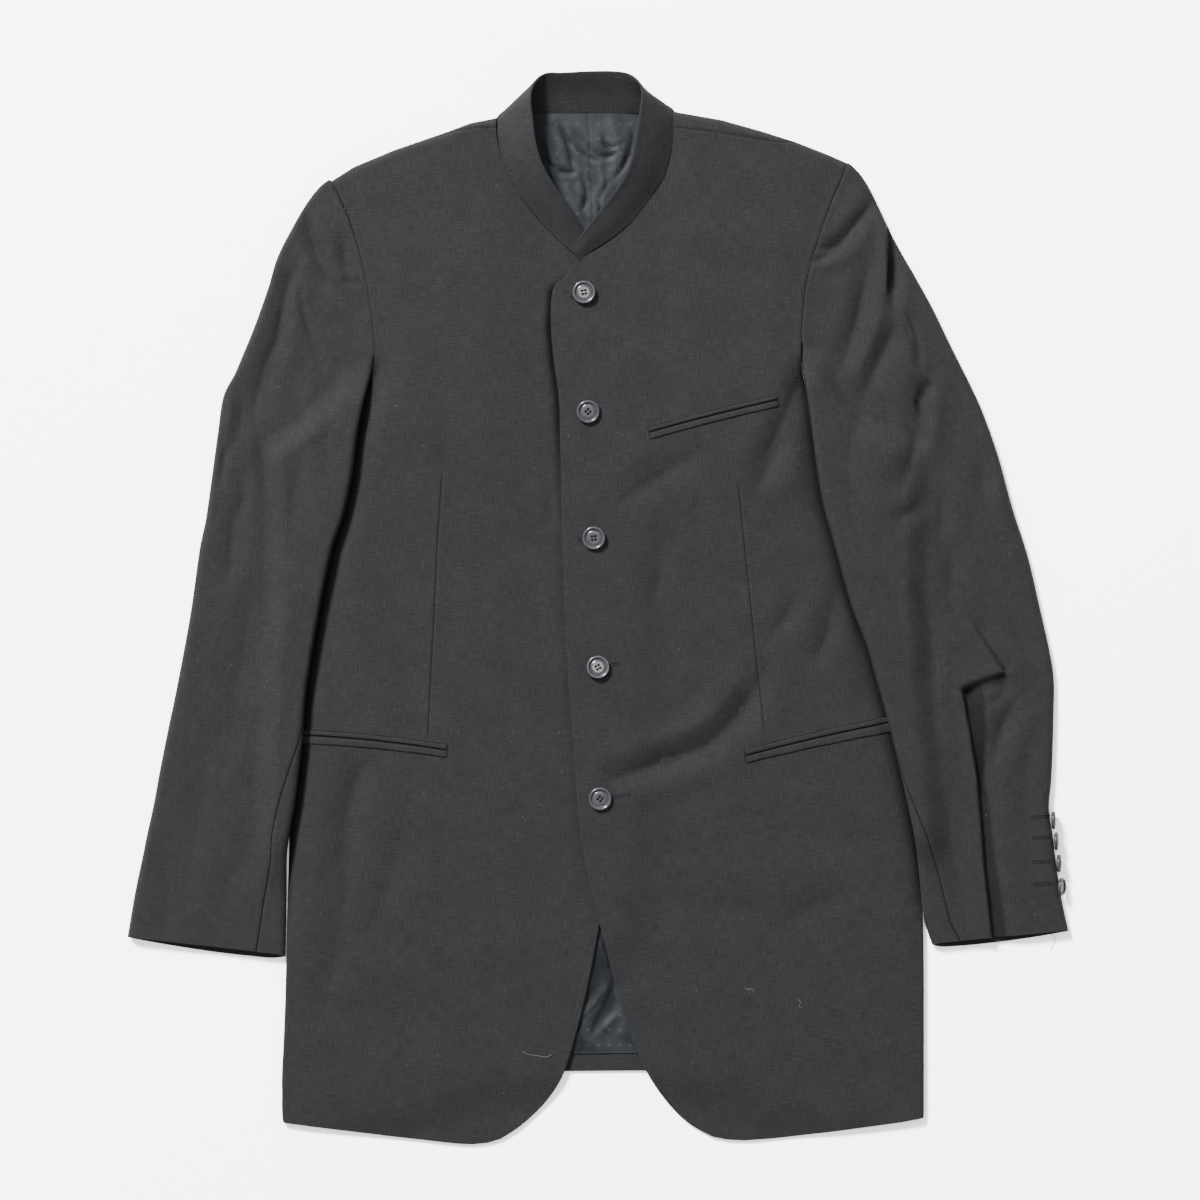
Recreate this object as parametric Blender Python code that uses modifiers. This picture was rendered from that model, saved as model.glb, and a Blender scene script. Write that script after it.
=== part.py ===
"""Mao jacket, laid flat on its back: the construction model.

The jacket lies on a surface at z = 0. +X is the viewer's right, +Y points to the collar and +Z up.
Sides are named for the wearer, so the right front is at -X. Sizes are in millimetres here and become
metres where a mesh is made. Every panel is a grid of rows carried between two edges, given a height and
then a wall; the pocket jets and buttons are set on the panels' own points.
"""
import math

import bmesh
import bpy
import numpy as np
from mathutils import Matrix, Vector
from mathutils.bvhtree import BVHTree

MM = 0.001
OBJECT_NAME = "mao_jacket"

# Walls and gaps
BACK_WALL = 2.2
THINNEST_WALL = 1.4
SLEEVE_WALL = 2.6
COLLAR_WALL = 2.4
LINING_WALL = 0.8
JET_WALL = 0.9
SEAM_GAP = 0.6
ARMHOLE_GAP = 0.8
FRONT_SEAM_GAP = 1.1
OVERLAP_GAP = 0.7
REST_GAP = 0.35

# Heights of the layers
LINING_BASE = 2.5
FRONT_UNDERSIDE = 3.95
SIDE_HEIGHT = 6.5
BODY_HEIGHT = 6.9
OVERLAP_LIFT = 3.8
CHEST_SWELL = 3.6
BELLY_SWELL = 0.8
HEM_FRONT_HEIGHT = 3.1
HEM_UNDERSIDE = 0.5

# The body's folded outlines
SIDE_ROLL = 3.5
SIDE_SEAM_HEIGHT = 3.2
SIDE_RIM_SHARE = 0.75
SHOULDER_ROLL = 7.0
SHOULDER_SEAM_HEIGHT = 4.2
SHOULDER_RIM_TOP = 6.2
BACK_RIM = 1.5
ARMPIT_Y = 126.0
ARMPIT_FADE = 14.0
SHOULDER_NECK_X = {-1: 87.0, 1: 64.0}

# Sleeves
SLEEVE_HEIGHT = 9.0
SLEEVE_ROLL = 6.0
RIDE_HEIGHT = 8.8
RIDE_RUN = 24.0
RIDE_MARGIN = 8.0
PRESS_RUN = 22.0

# Closing
CENTRE_X = -8.0
UNDER_EDGE_X = 12.0

# Buttons
FRONT_BUTTON_RADIUS = 10.0
CUFF_BUTTON_RADIUS = 7.75
BUTTON_STEPS = 16

# Finish of each kind of piece: colour, roughness, metallic
FINISHES = {
    "wool": ((0.030, 0.031, 0.033, 1.0), 0.85, 0.0),
    "lining": ((0.085, 0.105, 0.135, 1.0), 0.38, 0.0),
    "button": ((0.012, 0.012, 0.013, 1.0), 0.18, 0.0),
}


def table(columns, rows):
    """A table with named columns: each name gives its column as an array."""
    values = np.array(rows, dtype=float).T
    return dict(zip(columns.split(), values))


# The body's panels, from the shoulder down to the hem. Each row runs from the side to the front edge.
RIGHT_FRONT_ROWS = table("side_x side_y edge_x edge_y", [
    (-229, 368.5, -87.3, 423),
    (-222, 352, -86.9, 407),
    (-214, 334, -82.5, 388),
    (-204, 302, -71, 362),
    (-198, 275, -53, 337),
    (-193.7, 243, -24, 308),
    (-192, 219, 8, 282),
    (-193, 195, UNDER_EDGE_X, 240),
    (-200, 168, UNDER_EDGE_X, 202),
    (-222, 142, UNDER_EDGE_X, 165),
    (-260, 126, UNDER_EDGE_X, 130),
    (-257.5, 80, UNDER_EDGE_X, 85),
    (-256, 8, UNDER_EDGE_X, 5),
    (-261, -60, UNDER_EDGE_X, -65),
    (-264.5, -121, UNDER_EDGE_X, -125),
    (-265.5, -190, 11, -195),
    (-267, -240, 6, -243),
    (-268, -285, -2, -289),
    (-269, -330, -11, -333),
    (-270.5, -370, -21, -372),
    (-272, -400, -31, -402),
    (-272, -418, -46, -425),
    (-272, -431, -68, -446),
    (-271, -441.5, -95, -461.8),
])

LEFT_FRONT_ROWS = table("side_x side_y edge_x edge_y", [
    (214, 384, 64.5, 428.7),
    (208, 366, 64.5, 412),
    (201, 350, 62, 393),
    (190, 320, 55.5, 369),
    (183, 297, 41, 348),
    (177.5, 272, 11, 317.5),
    (175.2, 245, -21, 297),
    (174.6, 226, -38, 276),
    (174.8, 208, -40.4, 243),
    (176.5, 190, -37.8, 213),
    (184, 164, -33.5, 182),
    (202, 141, -32.6, 152),
    (255, 126, -32, 126),
    (254, 80, -31, 80),
    (254, 8, -28.6, 0),
    (258.5, -60, -25, -65),
    (264.5, -121, -20.7, -121),
    (271, -180, -16, -185),
    (276.5, -225, -7.5, -232),
    (279.5, -265, 0.5, -266),
    (280.3, -310, 12, -312),
    (280.4, -350, 23, -351),
    (280.4, -388, 37.5, -388.5),
    (280.4, -408, 48.5, -409),
    (280.4, -421, 64.5, -430),
    (280.4, -430, 83, -446),
    (280.2, -437.3, 115, -457.5),
])

# Where the columns of a front and the rows and columns of the back run, as shares and row numbers.
FRONT_COLUMNS = np.array([0.0, 0.0015, 0.006, 0.0135, 0.06, 0.14, 0.24, 0.34, 0.45, 0.56, 0.67, 0.78, 0.89, 1.0])
BACK_STATIONS = np.array([0.0, 0.05, 0.17, 0.42, 1, 2, 3.5, 5, 6, 7, 8, 9, 10, 11, 12, 14, 16, 18, 20, 22])
BACK_COLUMNS = np.array([0.0, 0.0008, 0.003, 0.0068, 0.07, 0.16, 0.27, 0.32, 0.34, 0.41, 0.5, 0.58, 0.64, 0.665,
                         0.72, 0.82, 0.93, 0.9932, 0.997, 0.9992, 1.0])

# The outline's top, from the right shoulder's tip over the neck seam to the left shoulder's tip.
BACK_TOP = table("x y", [
    (-229, 368.5), (-210, 380.6), (-175, 395.2), (-129, 411), (-110, 418.2), (-88, 422.6),
    (-68, 427), (-10, 428.2), (44, 428), (64.5, 428.3), (106, 421), (140, 411.5), (170, 402),
    (198, 391), (214, 384),
])
BACK_HEM_CENTRE = -393.0
BACK_HEM_SIDE_DROP = 42.0

# The sleeves, from the shoulder's tip to the cuff. The inner point follows the armhole seam first.
# front_seam is how far on top the front seam lies from the inner edge.
RIGHT_SLEEVE_ROWS = table("inner_x inner_y outer_x outer_y front_seam", [
    (-228.8, 365.5, -238.5, 366.5, 0),
    (-221.5, 351, -248.5, 350.5, 0),
    (-214, 334, -259.5, 335, 0),
    (-204, 302, -275.5, 304, 0),
    (-198, 275, -284, 276.5, 0),
    (-193.7, 243, -295.5, 244, 0),
    (-192, 219, -305.5, 219.5, 0),
    (-199, 184, -322.5, 183, 0),
    (-206, 150, -327.5, 150, 0),
    (-211, 113, -332.5, 113, 0),
    (-218.6, 79, -337.5, 78, 0),
    (-228, 51, -343, 51, 0),
    (-239.3, -4, -351, -5, 0),
    (-249.7, -68, -362.7, -68, 0),
    (-252.5, -103, -369.6, -101, 3),
    (-256.5, -140, -377, -138, 11),
    (-260.5, -170, -382.5, -168, 16),
    (-267.5, -196, -388, -193, 17),
    (-271, -216, -392, -213, 16),
    (-270.5, -250, -398.5, -244, 21),
    (-269.5, -297, -404.8, -281.5, 27),
])

LEFT_SLEEVE_ROWS = table("inner_x inner_y outer_x outer_y front_seam", [
    (214.4, 381.5, 224.5, 377.5, 0),
    (208, 366, 234, 361, 0),
    (201, 350, 241.5, 346, 0),
    (190, 320, 256, 316, 0),
    (183, 297, 272, 288, 0),
    (177.5, 272, 288, 259, 0),
    (175.2, 245, 301, 232, 0),
    (174.6, 226, 310.5, 213, 0),
    (175.4, 208, 319, 196, 0),
    (178, 188, 330, 172, 0),
    (183.5, 150, 344, 133, 0),
    (191.6, 97, 357, 86, 0),
    (202, 58, 370, 45, 0),
    (217, 4, 381, -2, 0),
    (230, -30, 389, -38, 0),
    (238, -58, 392.3, -62, 0),
    (246, -86, 392, -90, 0),
    (253.5, -115, 391.3, -118, 0),
    (261.8, -144, 390, -147, 3),
    (269, -171, 388, -171, 8),
    (275.5, -195, 391, -193, 13),
    (280.5, -222, 394, -217, 18),
    (283.2, -250, 397.8, -243, 22),
    (285.2, -270, 401.5, -262, 24),
    (289.5, -287, 404.8, -276, 26),
])

EVEN_LANDING = np.array([0.25, 0.5, 0.75])
UNDER_HEM_DROP = 5.0
SEAM_REACH = 1.9
EDGE_STEPS = np.array([0.0, 1.0, 3.0, 5.6, 9.0])

# How each sleeve rises from beside the armhole to lie over the body, and comes down again at the cuff.
RIGHT_SLEEVE_RIDE = {"start_y": 216.0, "full_y": 172.0, "leave_y": -196.0, "down_y": -245.0}
LEFT_SLEEVE_RIDE = {"start_y": 228.0, "full_y": 190.0, "leave_y": -186.0, "down_y": -232.0}

# The band collar, from its end under the closing, round the back, to the end on top. Heights are of the
# middle of its wall, at the seam and at the free edge.
COLLAR_SECTIONS = table("seam_x seam_y seam_z edge_x edge_y edge_z", [
    (-3.5, 292, 5.6, 8, 305.5, 5.6),
    (-13.5, 300.5, 5.6, -1.5, 316, 6.6),
    (-23.5, 309, 5.7, -11.5, 327, 9.6),
    (-38, 322.6, 6.1, -21, 339, 14.5),
    (-52.4, 338.2, 7.0, -31, 353.5, 19),
    (-68, 358.8, 8.2, -41.5, 369.5, 23),
    (-78.2, 376.4, 8.8, -48.5, 383.5, 25),
    (-83.8, 395, 9.0, -53, 400.5, 26),
    (-86, 411, 8.3, -55.5, 420.5, 26.5),
    (-85.6, 423.6, 5.2, -57, 437, 26),
    (-77, 430.0, 2.4, -53.5, 450.5, 22.5),
    (-64, 430.2, 1.7, -44.5, 459, 18.5),
    (-40, 430.4, 1.7, -31, 459.8, 16.5),
    (-10, 430.4, 1.7, -8, 461.1, 16),
    (18, 430.4, 1.7, 12.5, 461.2, 16),
    (38, 430.4, 1.7, 26.5, 458.6, 17.5),
    (53, 431, 2.2, 34.6, 450.5, 22),
    (63.2, 431.6, 5.2, 37.3, 440, 25.5),
    (64.6, 419, 8.4, 35.7, 426.5, 26.5),
    (62.6, 396.5, 9.3, 32, 401.5, 26),
    (56.4, 373, 9.4, 27, 380, 25),
    (44.8, 354, 9.6, 19, 364, 23),
    (29.4, 334.4, 10.2, 8.5, 350, 20.5),
    (13, 320.2, 10.4, -2, 337, 18),
    (-4.6, 308.8, 10.4, -10.5, 325.8, 16.5),
    (-17, 299, 10.3, -22.4, 312, 13.5),
])

# The linings that show: inside the neck, and in the notch between the fronts at the hem.
NECK_LINING_ROWS = table("side_x side_y edge_x edge_y", [
    (-64, 426.6, 44, 426.6),
    (-71, 410, 52, 410),
    (-72, 385, 52, 385),
    (-66, 352, 44, 352),
    (-44, 322, 24, 322),
    (-24, 300, 4, 300),
])
HEM_LINING_ROWS = table("side_x side_y edge_x edge_y", [
    (-30, -255, 45, -255),
    (-42, -300, 55, -300),
    (-55, -340, 66, -340),
    (-62, -383, 74, -381),
])

# The largest folds, as soft ridges (height above 0) and troughs (below 0) along a line.
BODY_FOLDS = table("x0 y0 x1 y1 width height", [
    (18, -144, 60, -131, 10, -2.2),
    (60, -131, 100, -117, 12, -2.6),
    (100, -117, 138, -62, 11, -2.4),
    (135, 150, 172, 190, 11, -1.8),
    (-95, 84, -47, -11, 15, -1.2),
    (-88, -50, -26, -119, 15, -1.2),
    (-199, -131, -216, -215, 12, -1.3),
])
RIGHT_SLEEVE_FOLDS = table("x0 y0 x1 y1 width height", [
    (-252, 339, -235, 286, 6, -1.9),
    (-235, 286, -238, 262, 9, -2.0),
    (-262, 290, -286, 207, 9, -1.6),
    (-286, 207, -297, 160, 9, -1.6),
])
LEFT_SLEEVE_FOLDS = table("x0 y0 x1 y1 width height", [
    (237, 349, 198, 312, 7, -1.8),
    (250, 318, 253, 274, 5, -1.8),
    (285, 199, 276, 168, 8, -2.0),
    (276, 168, 262, 107, 8, -1.6),
    (231, 290, 212, 205, 8, -1.4),
    (258, 244, 231, 186, 8, -1.4),
    (318, -66, 350, -53, 7, -2.9),
    (319, -72, 326, -104, 6, -3.1),
    (326, -104, 331, -172, 6, -3.1),
    (331, -172, 345, -276, 6, -3.0),
    (306, -76, 316, -150, 9, 1.2),
    (316, -150, 330, -272, 9, 1.0),
    (359, -80, 340, -130, 8, -1.8),
])

# Both sleeves: their forms, the body that they lie beside, and how finely they are made.
SLEEVES = {
    -1: {"rows": RIGHT_SLEEVE_ROWS, "body_rows": RIGHT_FRONT_ROWS, "ride": RIGHT_SLEEVE_RIDE,
         "folds": RIGHT_SLEEVE_FOLDS, "columns": 4, "extra_rows": (7.5, 8.5)},
    1: {"rows": LEFT_SLEEVE_ROWS, "body_rows": LEFT_FRONT_ROWS, "ride": LEFT_SLEEVE_RIDE,
        "folds": LEFT_SLEEVE_FOLDS, "columns": 8, "extra_rows": (9.5, 10.5)},
}

# Pocket jets: where the pocket's mouth starts and ends, its bow, and each jet's width at start and end.
POCKETS = [
    {"name": "chest_pocket", "panel": "left_front", "start": (44, 152.2), "end": (154, 179.8), "bow": -0.8,
     "upper": (4.0, 4.0), "lower": (6.0, 5.6)},
    {"name": "right_hip_pocket", "panel": "right_front", "start": (-130, -121), "end": (-258, -108), "bow": -2.0,
     "upper": (4.8, 4.3), "lower": (6.2, 7.2)},
    {"name": "left_hip_pocket", "panel": "left_front", "start": (126.7, -125.7), "end": (257, -96), "bow": -1.2,
     "upper": (5.0, 4.8), "lower": (6.2, 8.4)},
]
JET_SEGMENTS = 10
MOUTH_HALF_GAP = 0.35

# Buttons: centres of the five front buttons, and the y of each cuff button with its lean from upright.
FRONT_BUTTONS = [(-12, 272.2), (-8.6, 169.9), (-3.6, 61.5), (0, -49.5), (1.7, -162.1)]
CUFF_BUTTONS = table("y lean_degrees", [(-181, 12), (-199, 12), (-218, 14), (-238, 28)])
CUFF_BUTTON_CENTRE_Z = 8.0
BUTTON_PROFILE = table("radius height", [
    (0.0, 0.70), (0.58, 0.70), (0.68, 0.55), (0.82, 0.98), (0.93, 1.0), (1.0, 0.60), (0.88, 0.0), (0.0, 0.0),
])
FRONT_BUTTON_HEIGHT = 3.4
CUFF_BUTTON_HEIGHT = 3.0
BUTTON_HOLE_RADIUS = 0.095
BUTTON_HOLE_PITCH = 0.19


def ease(value):
    """A smooth step from 0 to 1."""
    clipped = np.clip(value, 0.0, 1.0)
    return clipped * clipped * (3.0 - 2.0 * clipped)


def quarter(distance, run):
    """The rise of a quarter ellipse: 0 at the outline, 1 once the run is passed."""
    inside = 1.0 - np.clip(distance / run, 0.0, 1.0)
    return np.sqrt(1.0 - inside * inside)


def smooth_column(values, at):
    """Read a table's column at fractional rows, on a smooth curve through its rows."""
    last = len(values) - 1
    index = np.clip(np.floor(at).astype(int), 0, last - 1)
    part = at - index
    before = values[np.maximum(index - 1, 0)]
    start = values[index]
    end = values[index + 1]
    after = values[np.minimum(index + 2, last)]
    slope_start = 0.5 * (end - before)
    slope_end = 0.5 * (after - start)
    square = part * part
    cube = square * part
    return ((2 * cube - 3 * square + 1) * start + (cube - 2 * square + part) * slope_start
            + (3 * square - 2 * cube) * end + (cube - square) * slope_end)


def smooth_table(rows, at):
    """Every column of a table, read at fractional rows."""
    return {name: smooth_column(values, at) for name, values in rows.items()}


def distance_to_path(x, y, path_x, path_y):
    """The distance in plan from points to a path of straight runs."""
    best = np.full(np.shape(x), 1.0e9)
    for x0, y0, x1, y1 in zip(path_x[:-1], path_y[:-1], path_x[1:], path_y[1:]):
        best = np.minimum(best, distance_to_run(x, y, x0, y0, x1, y1))
    return best


def distance_to_run(x, y, x0, y0, x1, y1):
    """The distance in plan from points to one straight run."""
    run_x, run_y = x1 - x0, y1 - y0
    along = ((x - x0) * run_x + (y - y0) * run_y) / (run_x * run_x + run_y * run_y)
    along = np.clip(along, 0.0, 1.0)
    return np.hypot(x - x0 - along * run_x, y - y0 - along * run_y)


def fold_relief(x, y, folds):
    """The height that the folds add: each is a bell across its line, with round ends."""
    relief = np.zeros(np.shape(x))
    for x0, y0, x1, y1, width, height in zip(*folds.values()):
        away = distance_to_run(x, y, x0, y0, x1, y1)
        relief = np.where(height < 0, np.minimum(relief, height * np.exp(-(away / width) ** 2)),
                          np.maximum(relief, height * np.exp(-(away / width) ** 2)))
    return relief


def sleeve_inner_x(y, sleeve_rows):
    """Where a sleeve's inner edge lies at a height on the page."""
    return np.interp(-y, -sleeve_rows["inner_y"], sleeve_rows["inner_x"])


def side_path(front_rows):
    """The body's outline from the armpit down to the hem."""
    below = front_rows["side_y"] <= ARMPIT_Y + 0.5
    return front_rows["side_x"][below], front_rows["side_y"][below]


def shoulder_path(side):
    """The outline over one shoulder: the right one is at -X."""
    at_side = BACK_TOP["x"] * side >= SHOULDER_NECK_X[side]
    return BACK_TOP["x"][at_side], BACK_TOP["y"][at_side]


def back_hem_y(x):
    """The back's hem, which rises in the middle."""
    return BACK_HEM_CENTRE - BACK_HEM_SIDE_DROP * ease((np.abs(x - 4.0) - 45.0) / 220.0)


def under_edge_x(y):
    """The hidden front edge of the right front, which lies under the closing."""
    edge = RIGHT_FRONT_ROWS
    return np.interp(-y, -edge["edge_y"][7:], edge["edge_x"][7:])


def front_support(x, y):
    """1 where the back lies under a front, 0 beyond the back's hem."""
    return ease((y - back_hem_y(x) + 26.0) / 22.0)


def front_height(x, y, side):
    """Top of a front panel before its outline rolls: side is -1 for the right front, 1 for the left."""
    rows = RIGHT_FRONT_ROWS if side < 0 else LEFT_FRONT_ROWS
    sleeve_rows = RIGHT_SLEEVE_ROWS if side < 0 else LEFT_SLEEVE_ROWS
    from_centre = side * (x - CENTRE_X)
    away = ease((from_centre - 25.0) / 70.0)
    armhole_distance = distance_to_path(x, y, rows["side_x"][:9], rows["side_y"][:9])
    near_armhole = 1.0 - 0.45 * (1.0 - ease(armhole_distance / 30.0))
    swell = CHEST_SWELL * ease((y - 20.0) / 170.0) * away * near_armhole
    swell = swell + BELLY_SWELL * away * ease((y + 380.0) / 150.0)
    inside_sleeve = side * (sleeve_inner_x(y, sleeve_rows) - x)
    pressed = 1.0 - (1.0 - ease(inside_sleeve / PRESS_RUN)) * ease((222.0 - y) / 36.0)
    height = SIDE_HEIGHT + pressed * (BODY_HEIGHT - SIDE_HEIGHT + swell)
    if side > 0:
        beyond = under_edge_x(y) + 52.0 - x
        height = height + OVERLAP_LIFT * ease(beyond / 40.0) * ease((y + 326.0) / 50.0)
    return HEM_FRONT_HEIGHT + front_support(x, y) * (height - HEM_FRONT_HEIGHT)


def front_roll(x, y, side):
    """How far a front's top has risen from its folded outline: 0 on it, 1 inside it."""
    rows = RIGHT_FRONT_ROWS if side < 0 else LEFT_FRONT_ROWS
    side_x, side_y = side_path(rows)
    below_armpit = ease((ARMPIT_Y - y) / ARMPIT_FADE)
    at_side = 1.0 - (1.0 - quarter(distance_to_path(x, y, side_x, side_y), SIDE_ROLL)) * below_armpit
    at_shoulder = quarter(distance_to_path(x, y, *shoulder_path(side)), SHOULDER_ROLL)
    return at_side, at_shoulder


def front_surface(x, y, side):
    """Top of a front panel, with its folds and its rolled side and shoulder."""
    height = front_height(x, y, side)
    at_side, at_shoulder = front_roll(x, y, side)
    side_rim = SIDE_RIM_SHARE * height
    rolled = side_rim + (height - side_rim) * at_side
    rolled = SHOULDER_RIM_TOP + (rolled - SHOULDER_RIM_TOP) * at_shoulder
    return rolled + fold_relief(x, y, BODY_FOLDS) * at_side * at_shoulder


def front_underside(x, y, side):
    """Underside of a front: thicker where the chest is built up with canvas, and above the other front."""
    height = front_height(x, y, side)
    at_side, at_shoulder = front_roll(x, y, side)
    supported = front_support(x, y)
    under = FRONT_UNDERSIDE + 0.36 * np.maximum(height - BODY_HEIGHT, 0.0)
    if side > 0:
        over = ease((under_edge_x(y) + 42.0 - x) / 14.0) * ease((y + 326.0) / 40.0)
        under = under + over * (BODY_HEIGHT + OVERLAP_GAP - under)
    under = np.minimum(under, front_surface(x, y, side) - THINNEST_WALL)
    side_rim = SIDE_SEAM_HEIGHT + 0.5 * SEAM_GAP
    under = side_rim + (under - side_rim) * at_side
    shoulder_rim = SHOULDER_SEAM_HEIGHT + 0.5 * SEAM_GAP
    under = shoulder_rim + (under - shoulder_rim) * at_shoulder
    return HEM_UNDERSIDE + supported * (under - HEM_UNDERSIDE)


def outline_columns(rows, across):
    """Plan points of a panel: each row is straight from its side to its edge."""
    side_x, side_y = rows["side_x"][:, None], rows["side_y"][:, None]
    edge_x, edge_y = rows["edge_x"][:, None], rows["edge_y"][:, None]
    return side_x + (edge_x - side_x) * across, side_y + (edge_y - side_y) * across


def clear_material(name, finish):
    """A plain finish for one piece."""
    colour, roughness, metallic = FINISHES[finish]
    material = bpy.data.materials.new(name)
    material.use_nodes = True
    shader = material.node_tree.nodes["Principled BSDF"]
    shader.inputs["Base Color"].default_value = colour
    shader.inputs["Roughness"].default_value = roughness
    shader.inputs["Metallic"].default_value = metallic
    material.diffuse_color = colour
    return material


def add_object(name, mesh, finish, collection):
    """Link a finished mesh as one named piece."""
    mesh.name = name
    mesh.materials.clear()
    mesh.materials.append(clear_material(name, finish))
    piece = bpy.data.objects.new(name, mesh)
    collection.objects.link(piece)
    return piece


def grid_mesh(name, points):
    """An open surface through a grid of points."""
    rows, columns = points.shape[:2]
    mesh = bpy.data.meshes.new(name)
    mesh.from_pydata((points.reshape(-1, 3) * MM).tolist(), [], grid_faces(rows, columns, 0).tolist())
    return mesh


def grid_faces(rows, columns, first):
    """The triangles of a grid of points numbered from a first one, all cut along the same diagonal."""
    corner = first + np.arange(rows * columns).reshape(rows, columns)
    low, right, far, up = corner[:-1, :-1], corner[:-1, 1:], corner[1:, 1:], corner[1:, :-1]
    return np.stack([low, right, far, low, far, up], axis=-1).reshape(-1, 3)


def shell_mesh(name, outside, inside):
    """A walled sheet: a grid for its outside, the matching grid for its inside, and a rim round both."""
    rows, columns = outside.shape[:2]
    count = rows * columns
    corner = np.arange(count).reshape(rows, columns)
    ring = np.concatenate([corner[0, :-1], corner[:-1, -1], corner[-1, :0:-1], corner[:0:-1, 0]])
    after = np.roll(ring, -1)
    rim = np.stack([after, ring, ring + count, after, ring + count, after + count], axis=-1).reshape(-1, 3)
    faces = np.concatenate([grid_faces(rows, columns, 0), grid_faces(rows, columns, count)[:, ::-1], rim])
    points = np.concatenate([outside.reshape(-1, 3), inside.reshape(-1, 3)]) * MM
    one, two, three = [points[faces[:, corner_number]] for corner_number in range(3)]
    if np.sum(one * np.cross(two, three)) < 0.0:
        faces = faces[:, ::-1]
    mesh = bpy.data.meshes.new(name)
    mesh.from_pydata(points.tolist(), [], faces.tolist())
    return mesh


def layer_mesh(name, x, y, top, bottom):
    """A walled sheet that lies flat: its top and its underside over the same plan points."""
    return shell_mesh(name, np.stack([x, y, top], axis=-1), np.stack([x, y, bottom], axis=-1))


def row_numbers(count, extra):
    """Row numbers of a table, with extra fractional rows where the form needs them."""
    return np.array(sorted(set(range(count)) | set(extra)), dtype=float)


def build_front(name, rows, side, collection):
    """A front: straight rows from the side to the closing, walled under its top surface."""
    last = len(rows["side_x"]) - 1
    lines = smooth_table(rows, row_numbers(last + 1, (0.05, 0.17, 0.42, 4.5, 5.5, last - 0.5)))
    x, y = outline_columns(lines, FRONT_COLUMNS)
    mesh = layer_mesh(name, x, y, front_surface(x, y, side), front_underside(x, y, side))
    return add_object(name, mesh, "wool", collection)


def build_back(collection):
    """The back: flat on the surface, turned up at the sides and shoulders to meet the fronts."""
    last = len(LEFT_FRONT_ROWS["side_x"]) - 1
    left = smooth_table(RIGHT_FRONT_ROWS, BACK_STATIONS)
    right_at = np.interp(left["side_y"], LEFT_FRONT_ROWS["side_y"][::-1], np.arange(last, -1.0, -1.0))
    right_at[:4] = BACK_STATIONS[:4]
    right = smooth_table(LEFT_FRONT_ROWS, right_at)
    x = left["side_x"][:, None] + (right["side_x"] - left["side_x"])[:, None] * BACK_COLUMNS
    chord_y = left["side_y"][:, None] + (right["side_y"] - left["side_y"])[:, None] * BACK_COLUMNS
    tip_x, tip_y = BACK_TOP["x"], BACK_TOP["y"]
    chord_slope = (tip_y[-1] - tip_y[0]) / (tip_x[-1] - tip_x[0])
    rise = np.interp(x, tip_x, tip_y) - (tip_y[0] + (x - tip_x[0]) * chord_slope)
    fade = 1.0 - ease((tip_y[0] - left["side_y"]) / 190.0)
    y = chord_y + rise * fade[:, None]
    hem_blend = ease((-300.0 - chord_y) / 118.0)
    y = y + hem_blend * (back_hem_y(x) - back_hem_y(x[:, :1]))
    at_side, at_shoulder = back_roll(x, y)
    side_top = SIDE_SEAM_HEIGHT - 0.5 * SEAM_GAP
    shoulder_top = SHOULDER_SEAM_HEIGHT - 0.5 * SEAM_GAP
    top = BACK_WALL + np.maximum(at_side * (side_top - BACK_WALL), at_shoulder * (shoulder_top - BACK_WALL))
    bottom = np.maximum(at_side * (side_top - BACK_RIM), at_shoulder * (shoulder_top - BACK_RIM))
    return add_object("back", layer_mesh("back", x, y, top, bottom), "wool", collection)


def back_roll(x, y):
    """How far the back has turned up: 1 on the folded side and shoulder, 0 inside them."""
    at_side = np.zeros(x.shape)
    at_shoulder = np.zeros(x.shape)
    for side, rows in ((-1, RIGHT_FRONT_ROWS), (1, LEFT_FRONT_ROWS)):
        turned = 1.0 - quarter(distance_to_path(x, y, *side_path(rows)), SIDE_ROLL)
        at_side = np.maximum(at_side, turned * ease((ARMPIT_Y - y) / ARMPIT_FADE))
        turned = 1.0 - quarter(distance_to_path(x, y, *shoulder_path(side)), SHOULDER_ROLL)
        at_shoulder = np.maximum(at_shoulder, turned)
    return at_side, at_shoulder


def sleeve_rest(x, y, body_rows, side, ride):
    """Underside of a sleeve: over the body beside its edge, and down on the surface beyond it."""
    outline_x = np.interp(-y, -body_rows["side_y"], body_rows["side_x"])
    away = distance_to_path(x, y, body_rows["side_x"], body_rows["side_y"])
    outside = np.where(side * (x - outline_x) > 0.0, away, -away)
    over_body = 1.0 - ease((outside - RIDE_MARGIN) / RIDE_RUN)
    risen = ease((ride["start_y"] - y) / (ride["start_y"] - ride["full_y"]))
    risen = risen * (1.0 - ease((ride["leave_y"] - y) / (ride["leave_y"] - ride["down_y"])))
    return RIDE_HEIGHT * over_body * risen


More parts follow.
